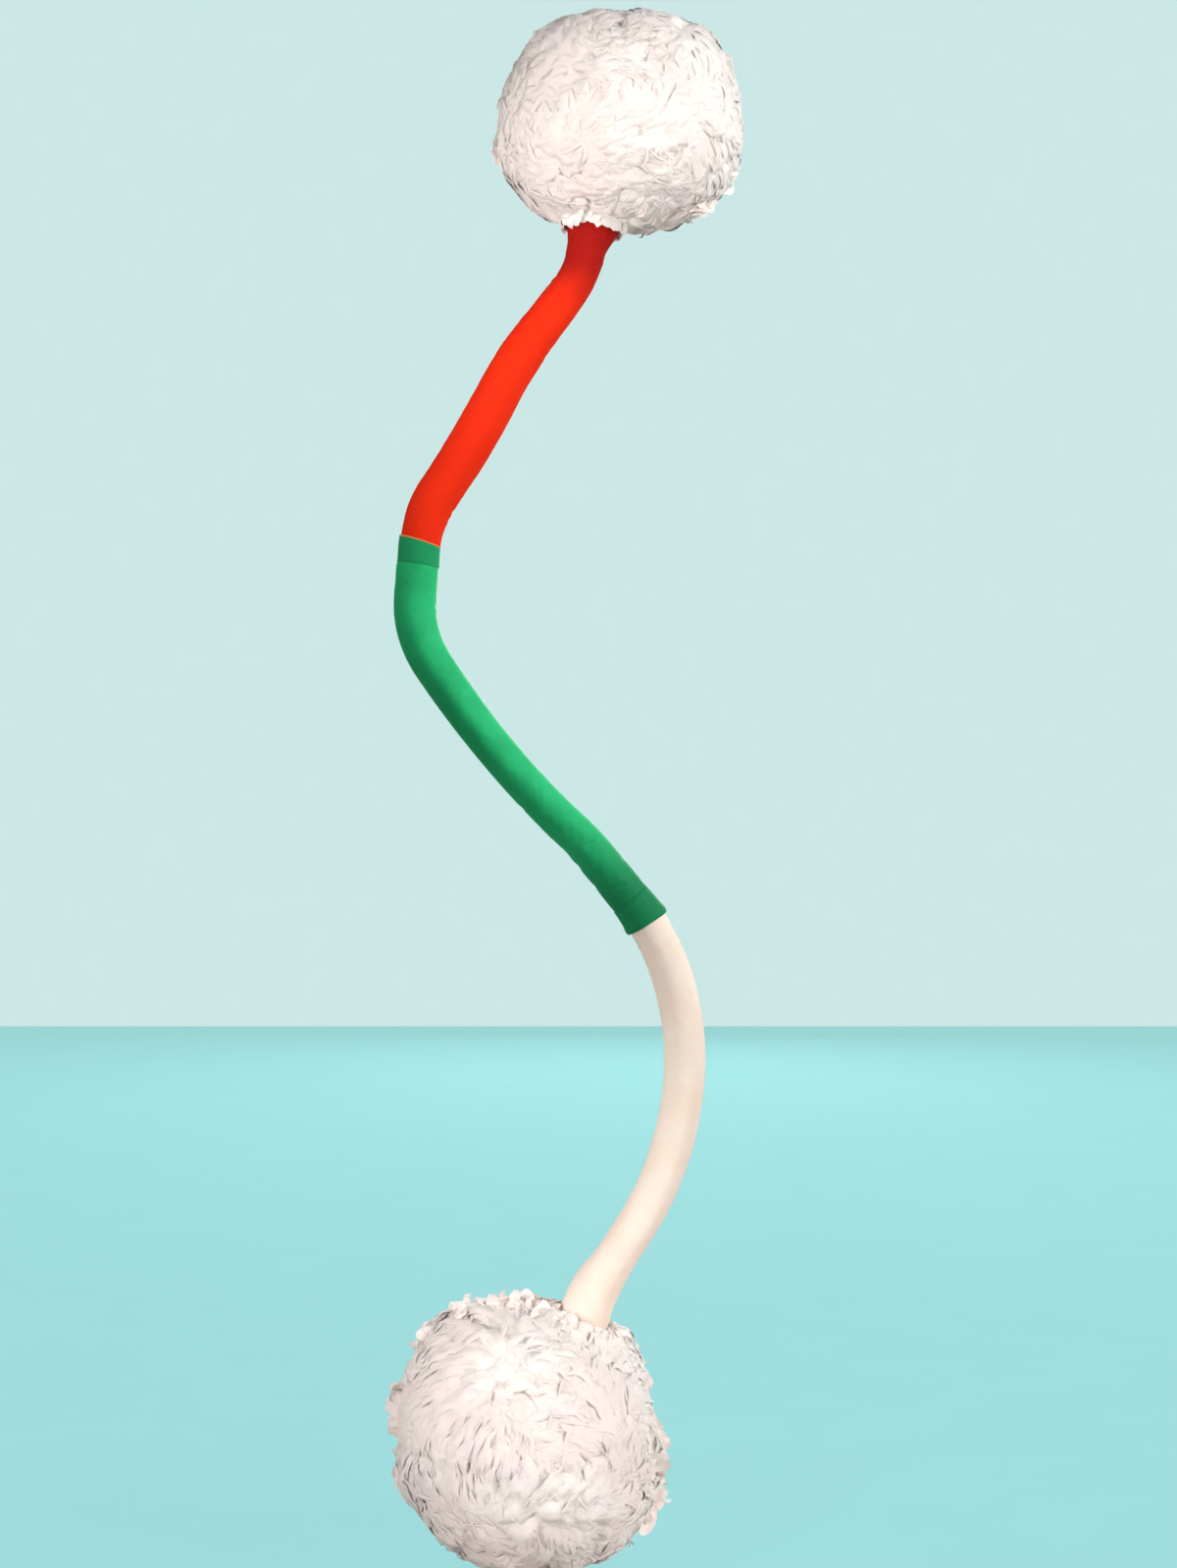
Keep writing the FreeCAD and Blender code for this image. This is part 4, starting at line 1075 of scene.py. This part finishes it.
stripKinds = {
    "cover": {"loose": 0.35, "width": (0.0040, 0.0075), "reach": (0.011, 0.020), "lift": (0.0006, 0.0014),
              "curl": (-1.00, -0.50), "roll": 0.07, "soft": 0.62,
              "tree": {"Steps": 8, "Sides": 4, "Flatness": 0.07, "Wander": 0.0008, "Crimp": 0.0001,
                       "Crimps": 1.5, "Tip": 0.35}},
    "fluff": {"loose": 0.40, "width": (0.0008, 0.0015), "reach": (0.016, 0.030), "lift": (0.0007, 0.0017),
              "curl": (-1.10, -0.75), "roll": 0.15, "soft": 0.70,
              "tree": {"Steps": 6, "Sides": 3, "Flatness": 0.4, "Wander": 0.0024, "Crimp": 0.0003,
                       "Crimps": 2.0, "Tip": 0.5}},
    "wisps": {"loose": 0.70, "width": (0.0009, 0.0022), "reach": (0.010, 0.020), "lift": (0.0012, 0.0026),
              "curl": (-0.80, -0.10), "roll": 0.25, "soft": 0.55,
              "tree": {"Steps": 6, "Sides": 3, "Flatness": 0.6, "Wander": 0.0050, "Crimp": 0.0005,
                       "Crimps": 1.5, "Tip": 0.35}},
    "fringe": {"soft": 0.0, "tree": {"Steps": 7, "Sides": 4, "Flatness": 0.10, "Wander": 0.003,
                                     "Crimp": 0.0004, "Crimps": 2.0, "Tip": 0.35, "Hug": 0.0}},
}


def between(random, pair, count=None):
    return random.uniform(pair[0], pair[1], count)


def unit(vectors):
    return vectors / np.maximum(np.linalg.norm(vectors, axis=1), 1e-9)[:, None]


def flattened(vectors, normals):
    return vectors - normals * (vectors * normals).sum(axis=1)[:, None]


def evenDirections(count):
    step = np.arange(count) + 0.5
    height = 1 - 2 * step / count
    turn = step * math.pi * (1 + math.sqrt(5))
    flat = np.sqrt(1 - height ** 2)
    return np.stack([flat * np.cos(turn), flat * np.sin(turn), height], axis=1)


# The ball's radius in a direction from its middle.
def ballRadius(name, directions):
    settings = poms[name]
    turn = np.degrees(np.arctan2(directions[:, 0], directions[:, 2])) % 360
    table = settings["outline"] + [(360, settings["outline"][0][1])]
    flat = np.interp(turn, [item[0] for item in table], [item[1] for item in table]) * mm
    share = directions[:, 0] ** 2 + directions[:, 2] ** 2
    return flat * share + settings["side"] * (1 - share)


# The strips are tied in tufts, and each tuft's ends stand out of the ball as a rounded lobe.
def lobeHeight(name, directions):
    settings, rules = poms[name], pomRules
    random = np.random.default_rng(settings["seed"] + seedSteps["lobes"])
    count = settings["lobes"]
    shifts = random.normal(0, rules["lobeSpread"] / math.sqrt(count), (count, 3))
    middles = unit(evenDirections(count) + shifts)
    away = np.arccos(np.clip(directions @ middles.T, -1, 1)) * settings["side"]
    width = between(random, rules["lobeWidth"], count)
    domes = np.sqrt(np.clip(1 - (away / width) ** 2, 0, 1)) * between(random, rules["lobeHigh"], count)
    return domes.max(axis=1) - rules["lobeSink"]


# A smooth random field over directions, as a few crossed waves.
def waves(directions, seed, count, fineness):
    random = np.random.default_rng(seed)
    total = np.zeros(len(directions))
    for _ in range(count):
        way = random.normal(size=3)
        way *= fineness / np.linalg.norm(way) * between(random, pomRules["waveSpread"])
        total += np.sin(directions @ way + random.uniform(0, fullTurn))
    return total / math.sqrt(count)


def lumpHeight(name, directions):
    settings = poms[name]
    lumps = sum(waves(directions, settings["seed"] + step, count, fineness) * share
                for step, count, fineness, share in pomRules["lumps"])
    return lumps * settings["lumpy"] + lobeHeight(name, directions)


def coreRadius(name, directions):
    return ballRadius(name, directions) - pomRules["coreInside"] + lumpHeight(name, directions)


def ballRow(name, out, ahead, tilt):
    directions = out * math.sin(tilt) + ahead * math.cos(tilt)
    return directions * coreRadius(name, directions)[:, None]


# A pom's middle, and the directions across it and out along the shaft.
def pomAxis(name):
    x, z, turn = onLine(marks[name + "_pom_spin"])
    way = poms[name]["sign"]
    side = np.array([math.cos(turn), 0.0, -math.sin(turn)]) * way
    ahead = np.array([math.sin(turn), 0.0, math.cos(turn)]) * way
    return np.array([x, 0.0, z]), side, ahead


# The inner part of the pom: a lumpy ball outside, and the neck's recess and hub's pocket.
def makeCore(name):
    rules, around = pomRules, pomRules["coreAround"]
    centre, side, ahead = pomAxis(name)
    angles = turnsRound(around)
    out = np.cos(angles)[:, None] * side + np.sin(angles)[:, None] * backward
    mouth = math.asin(rules["hole"] / rules["mouthReach"])
    rows = [ballRow(name, out, ahead, tilt)
            for tilt in np.linspace(math.pi - mouth, rules["apexTilt"], rules["coreRows"])]
    apex = len(rows)
    rows += [out * across + ahead * up for across, up in rules["inner"]]
    faces = gridFaces(len(rows), around, True).tolist()
    faces = [face for index, face in enumerate(faces) if index // around != apex - 1]
    flat = np.array(rows).reshape(-1, 3).tolist()
    flat.append((ahead * coreRadius(name, ahead[None, :])[0]).tolist())
    flat.append((ahead * rules["inner"][0][1]).tolist())
    for column in range(around):
        following = (column + 1) % around
        faces.append([(apex - 1) * around + column, (apex - 1) * around + following, len(flat) - 2])
        faces.append([len(flat) - 1, apex * around + following, apex * around + column])
    mesh = bpy.data.meshes.new(name + "PomCore")
    mesh.from_pydata((np.array(flat) + centre).tolist(), [], faces)
    mesh.shade_smooth()
    mesh.materials.append(coreCloth)
    return addObject(name + "PomCore", mesh)


# The whole lumpy ball about its own middle, which the strips lie down on while they grow.
def makeBall(name):
    rules = pomRules
    turns = turnsRound(rules["coreAround"])
    out = np.stack([np.cos(turns), np.sin(turns), np.zeros(len(turns))], axis=1)
    rows = [ballRow(name, out, np.array([0.0, 0.0, 1.0]), tilt)
            for tilt in np.linspace(math.pi - rules["ballTilt"], rules["ballTilt"], rules["coreRows"])]
    mesh = bpy.data.meshes.new(name + "Ball")
    mesh.from_pydata(np.array(rows).reshape(-1, 3).tolist(), [],
                     gridFaces(len(rows), len(turns), True).tolist())
    return addObject(name + "Ball", mesh)


# Leads each strip the way its neighbours lie, so that they make locks, with some strays.
def combed(directions, seed, loose):
    random = np.random.default_rng(seed)
    field = np.stack([waves(directions, seed + k, *pomRules["combWaves"]) for k in range(3)], axis=1)
    stray = random.normal(size=directions.shape) * loose
    return unit(flattened(field + stray, directions))


# Turns the shading of thin strips toward the ball's own roundness, as light does inside a pom.
def soften(piece, ends, share):
    own = np.zeros(len(ends) * 3, np.float32)
    piece.data.vertices.foreach_get("normal", own)
    turned = unit(unit(ends) * share + own.reshape(-1, 3) * (1 - share))
    piece.data.normals_split_custom_set_from_vertices(turned.tolist())


# roots: points about the pom's middle; the rest are one row for each strip. A strip's flat side
# faces outward from the ball, or the way that press gives.
def growStrips(name, kind, roots, lean, size, form, press):
    label = name + "Pom" + kind.capitalize()
    mesh = bpy.data.meshes.new("roots")
    mesh.from_pydata(roots.tolist(), [], [])
    rows = {"root": roots, "lean": lean, "size": size, "form": form, "press": press}
    for key, values in rows.items():
        mesh.attributes.new(key, "FLOAT_VECTOR", "POINT").data.foreach_set(
            "vector", np.asarray(values, np.float32).ravel())
    shade = np.random.default_rng(poms[name]["seed"] + seedSteps["shade"]).random(len(roots))
    mesh.attributes.new("shade", "FLOAT", "POINT").data.foreach_set("value", shade.astype(np.float32))
    piece = grow(label, addObject("rootSeed", mesh), stripGrower,
                 dict(stripKinds[kind]["tree"], Ball=balls[name], Material=stripCloth))
    for key in rows:
        if key in piece.data.attributes:
            piece.data.attributes.remove(piece.data.attributes[key])
    flat = np.zeros(len(piece.data.vertices) * 3, np.float32)
    piece.data.vertices.foreach_get("co", flat)
    ends = flat.reshape(-1, 3)
    piece.data.vertices.foreach_set("co", (ends + pomAxis(name)[0]).astype(np.float32).ravel())
    piece.data.update()
    if stripKinds[kind]["soft"]:
        soften(piece, ends, stripKinds[kind]["soft"])
    else:
        piece.data.shade_flat()
    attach(piece, name + "_pom")
    print(label, len(piece.data.polygons), "faces")


def ballCover(name, kind):
    settings, rules, strip = poms[name], pomRules, stripKinds[kind]
    ahead = pomAxis(name)[2]
    random = np.random.default_rng(settings["seed"] + seedSteps["strips"])
    count = settings[kind]
    shifts = random.normal(0, rules["spread"] / math.sqrt(count), (count, 3))
    directions = unit(evenDirections(count) + shifts)
    directions = directions[-(directions @ ahead) < math.cos(math.radians(rules["neckClear"]))]
    count = len(directions)
    lean = combed(directions, settings["seed"] + seedSteps["comb"], strip["loose"])
    # Strips near the neck lie along the shaft or away from it, never across it.
    start, over = rules["neckNear"]
    near = np.clip((-(directions @ ahead) - start) / over, 0, 1)[:, None]
    away = unit(flattened(np.tile(ahead, (count, 1)), directions))
    lean = unit(flattened(lean * (1 - near) + away * near, directions))
    sink = stripRules["sink"]
    radius = ballRadius(name, directions) + lumpHeight(name, directions)
    roots = directions * (radius - rules["coreInside"] - sink)[:, None]
    reach = between(random, strip["reach"], count) / radius
    lift = between(random, strip["lift"], count) + sink
    curl = lift * between(random, strip["curl"], count)
    size = np.stack([reach, lift, curl], axis=1)
    form = np.stack([between(random, strip["width"], count), random.random(count),
                     random.normal(0, strip["roll"], count)], axis=1)
    growStrips(name, kind, roots, lean, size, form, np.zeros((count, 3)))


# Loose tufts at the ball's edge; a skirt of strips round the neck; and the ragged collar of strips
# that hang over the sleeve. Clear is how far from the shaft's middle they keep.
tuftRules = {"inside": 0.0026, "sunk": 0.003, "turned": 3.2, "depth": 0.09, "reach": (0.5, 1.5),
             "climb": 0.0055, "rise": (0.35, 1.0), "curl": (-0.35, 0.1), "width": (0.0070, 0.0125),
             "roll": 0.25, "pressSide": 4, "pressFront": -8.0}
skirtRules = {"count": 150, "sunk": 0.002, "turned": 0.05, "tilt": (16.5, 24.0), "clear": 0.0162,
              "outside": 0.006, "margin": 0.01, "reach": (0.04, 0.12), "lift": (0.003, 0.0062),
              "curl": (-0.0015, 0.0008), "width": (0.0036, 0.0064), "roll": 0.12}
collarRules = {"count": 44, "sunk": 0.001, "turned": 0.3, "tilt": (16.8, 19.5), "clear": 0.0176,
               "lift": 1.15, "curl": (-0.25, 0.0), "width": (0.0060, 0.0100), "roll": 0.10, "press": 8}


def edgeRadius(name, way):
    return ballRadius(name, way[None, :])[0] - tuftRules["inside"]


def leaning(vector, way):
    flat = vector - way * (vector @ way)
    return flat / np.linalg.norm(flat)


def drawForm(random, rules):
    return between(random, rules["width"]), random.random(), random.normal(0, rules["roll"])


def looseTufts(name, random):
    rules = tuftRules
    for angle, count, length, rise in poms[name]["tufts"]:
        for _ in range(count):
            turn = math.radians(angle + random.normal(0, rules["turned"]))
            depth = random.normal(0, rules["depth"])
            way = np.array([math.sin(turn), depth, math.cos(turn)])
            way /= np.linalg.norm(way)
            radius = edgeRadius(name, way)
            lean = leaning(random.normal(size=3), way)
            size = (between(random, rules["reach"]) * length * mm / radius,
                    rules["climb"] + between(random, rules["rise"]) * rise * mm,
                    between(random, rules["curl"]) * rise * mm)
            form = drawForm(random, rules)
            press = (random.normal(0, rules["pressSide"]), rules["pressFront"],
                     random.normal(0, rules["pressSide"]))
            yield way * (radius - rules["sunk"]), lean, size, form, press


def neckStart(name, random, turn, rules):
    side, ahead = pomAxis(name)[1:]
    out = side * math.cos(turn) + backward * math.sin(turn)
    tilt = math.radians(between(random, rules["tilt"]))
    way = out * math.sin(tilt) - ahead * math.cos(tilt)
    return out, tilt, way, leaning(-ahead, way)


def neckSkirt(name, random):
    rules = skirtRules
    for index in range(rules["count"]):
        turn = index / rules["count"] * fullTurn + random.normal(0, rules["turned"])
        tilt, way, lean = neckStart(name, random, turn, rules)[1:]
        radius = edgeRadius(name, way)
        most = max(0.0, tilt - math.asin(rules["clear"] / (radius + rules["outside"])) - rules["margin"])
        size = (min(most, between(random, rules["reach"])), between(random, rules["lift"]),
                between(random, rules["curl"]))
        yield way * (radius - rules["sunk"]), lean, size, drawForm(random, rules), np.zeros(3)


def neckCollar(name, random):
    rules = collarRules
    for index in range(rules["count"]):
        turn = (index + random.normal(0, rules["turned"])) / rules["count"] * fullTurn
        out, tilt, way, lean = neckStart(name, random, turn, rules)
        radius = edgeRadius(name, way) - rules["sunk"]
        hang = between(random, poms[name]["collarHang"])
        most = max(0.0, tilt - math.asin(rules["clear"] / (radius + hang)))
        size = (most, hang * rules["lift"], hang * between(random, rules["curl"]))
        yield way * radius, lean, size, drawForm(random, rules), out * rules["press"]


def edgeStrips(name):
    random = np.random.default_rng(poms[name]["seed"] + seedSteps["tufts"])
    strips = [strip for part in (looseTufts, neckSkirt, neckCollar) for strip in part(name, random)]
    growStrips(name, "fringe", *[np.array(rows) for rows in zip(*strips)])


stripGrower = stripTree("growStrips")
balls = {name: makeBall(name) for name in poms}
for name in poms:
    core = makeCore(name)
    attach(core, name + "_pom")
    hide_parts(name + "_pom_strands")
    for kind in ("cover", "fluff", "wisps"):
        ballCover(name, kind)
    edgeStrips(name)
    bpy.data.objects.remove(balls[name])
print("poms:", len(poms))


slotOf = {part["node"]: part["material_slot"] for part in frame["record"]["subparts"]}
finished = 0
for node, item in frame["nodes"].items():
    if slotOf.get(node) in hardParts:
        if not item.data.materials:
            item.data.materials.append(None)
        for place in range(len(item.data.materials)):
            item.data.materials[place] = hardParts[slotOf[node]]
        finished += 1
print("finished hard parts:", finished)


stageRules = {"eye": (0.0559, -1.35, -0.0202), "viewHeight": 0.9594, "sensor": 36.0, "floor": -0.5035,
              "wallShare": 3.26, "half": 9.0, "bounce": (0.46, 0.43, 0.41), "wall": (0.597, 0.799, 0.783),
              "ground": (0.364, 0.749, 0.756), "groundShown": 0.86, "wallShown": 1.0, "grainSize": 0.06,
              "grainRange": (0.3, 0.7), "grainMost": 0.10, "paler": (1.12, 0.02),
              "air": (1.0, 0.985, 0.97), "airLight": 0.13}


# 1 for what the camera sees, straight or in metal and glass.
def seenRays(bench):
    ray = bench.node("ShaderNodeLightPath")
    total = ray.out("Is Camera Ray") + ray.out("Is Glossy Ray") + ray.out("Is Transmission Ray")
    return bench.node("ShaderNodeMath", {"operation": "MINIMUM"}, {0: total, 1: 1.0})


# Shows its own colour to the camera and in reflections, with a share left to the light.
def stageMaterial(name, colour, shown):
    rules = stageRules
    material = bpy.data.materials.new(name)
    bench = clearBench(material)
    grain = bench.clamped(bench.noise(bench.place(), rules["grainSize"], 5.0, 0.6), *rules["grainRange"],
                          0.0, rules["grainMost"])
    more, least = rules["paler"]
    tinted = bench.mix(grain, opaque(colour), opaque([min(1.0, part * more + least) for part in colour]))
    isSeen = bench.node("ShaderNodeLightPath", None, None, "Is Camera Ray")
    bounce = bench.mix(isSeen, opaque(rules["bounce"]), tinted)
    lit = bench.node("ShaderNodeBsdfDiffuse", None, {"Color": bounce})
    glow = bench.node("ShaderNodeEmission", None, {"Color": tinted, "Strength": 1.0})
    both = bench.node("ShaderNodeMixShader", None, {0: seenRays(bench) * shown, 1: lit, 2: glow})
    bench.node("ShaderNodeOutputMaterial", None, {"Surface": both})
    return material


def addStage(name, corners, material):
    mesh = bpy.data.meshes.new(name)
    mesh.from_pydata(corners, [], [(0, 1, 2, 3)])
    mesh.materials.append(material)
    addObject(name, mesh)


half, low = stageRules["half"], stageRules["floor"]
wallAt = stageRules["eye"][1] * (1 - stageRules["wallShare"])
addStage("floor", [(-half, -half, low), (half, -half, low), (half, wallAt, low), (-half, wallAt, low)],
         stageMaterial("aquaFloor", stageRules["ground"], stageRules["groundShown"]))
addStage("backdrop", [(-half, wallAt, low), (half, wallAt, low), (half, wallAt, low + half),
                      (-half, wallAt, low + half)],
         stageMaterial("paleWall", stageRules["wall"], stageRules["wallShown"]))

# Each lamp's place and aim are from the middle of the object; level is how bright a white card is,
# and a cone in degrees makes it a soft-edged spot.
lamps = {
    "keyLamp": {"from": (1.95, -1.10, 1.15), "aim": (0, 0, 0), "size": 1.9, "level": 0.52},
    "frontLamp": {"from": (0.9, -2.3, 0.2), "aim": (0, 0, 0), "size": 1.6, "level": 0.05},
    "backLamp": {"from": (0.15, 2.6, 0.70), "aim": (0, 0, 0), "size": 1.6, "level": 0.62},
    "rimLamp": {"from": (1.2, 1.6, 1.0), "aim": (0, 0, 0), "size": 1.2, "level": 0.14},
    "shaftKey": {"from": (1.80, -0.75, 0.85), "aim": (0, 0, 0.02), "size": 0.4, "level": 0.61, "cone": 17},
    "topFront": {"from": (0.5, -2.2, 0.00), "aim": (0.02, 0, 0.42), "size": 0.3, "level": 0.48, "cone": 14},
    "topLeft": {"from": (-1.6, -1.2, -0.30), "aim": (0.02, 0, 0.42), "size": 0.25, "level": 0.54,
                "cone": 13, "tint": (1.0, 0.90, 0.885)},
    "lowFront": {"from": (1.5, -1.8, -0.40), "aim": (0, 0, -0.43), "size": 0.3, "level": 0.40,
                 "cone": 14, "tint": (1.0, 0.94, 0.92)},
    "lowLeft": {"from": (-1.3, -1.5, 0.75), "aim": (0, 0, -0.43), "size": 0.25, "level": 0.42,
                "cone": 13, "tint": (1.0, 0.92, 0.91)},
    "creamLeft": {"from": (-1.7, -1.2, -0.2), "aim": (0.09, 0, -0.225), "size": 0.3, "level": 0.68,
                  "cone": 12.5},
    "redLeft": {"from": (-1.7, -1.2, 0.3), "aim": (0, 0, 0.225), "size": 0.2, "level": 0.56, "cone": 9},
}
middle = Vector([(least + most) / 2 for least, most in zip(*cadBox)])
for name, settings in lamps.items():
    place, aim = middle + Vector(settings["from"]), middle + Vector(settings["aim"])
    energy = settings["level"] * math.pi ** 2 * (aim - place).length ** 2
    isSpot = "cone" in settings
    light = bpy.data.lights.new(name, "SPOT" if isSpot else "AREA")
    if isSpot:
        light.spot_size, light.spot_blend = math.radians(settings["cone"]), 1.0
        light.shadow_soft_size = settings["size"] / 2
        light.energy = 4 * energy
    else:
        light.shape, light.size = "DISK", settings["size"]
        light.energy = energy
    light.color = settings.get("tint", (1, 1, 1))
    lamp = addObject(name, light)
    lamp.location = place
    lamp.visible_camera = False
    lamp.rotation_euler = (aim - place).to_track_quat("-Z", "Y").to_euler()

scene.world = bpy.data.worlds.new("softRoom")
room = clearBench(scene.world)
air = room.node("ShaderNodeBackground", None,
                {"Color": opaque(stageRules["air"]), "Strength": stageRules["airLight"]})
seenAir = room.node("ShaderNodeBackground", None, {"Color": opaque(stageRules["wall"]), "Strength": 1.0})
room.node("ShaderNodeOutputWorld", None, {"Surface": room.node(
    "ShaderNodeMixShader", None, {0: seenRays(room), 1: air, 2: seenAir})})

camera = addObject("camera", bpy.data.cameras.new("camera"))
camera.location = stageRules["eye"]
camera.rotation_euler = (math.pi / 2, 0, 0)
camera.data.sensor_width = stageRules["sensor"]
camera.data.lens = stageRules["sensor"] * -stageRules["eye"][1] / stageRules["viewHeight"]
scene.camera = camera
scene.view_settings.view_transform = "Standard"
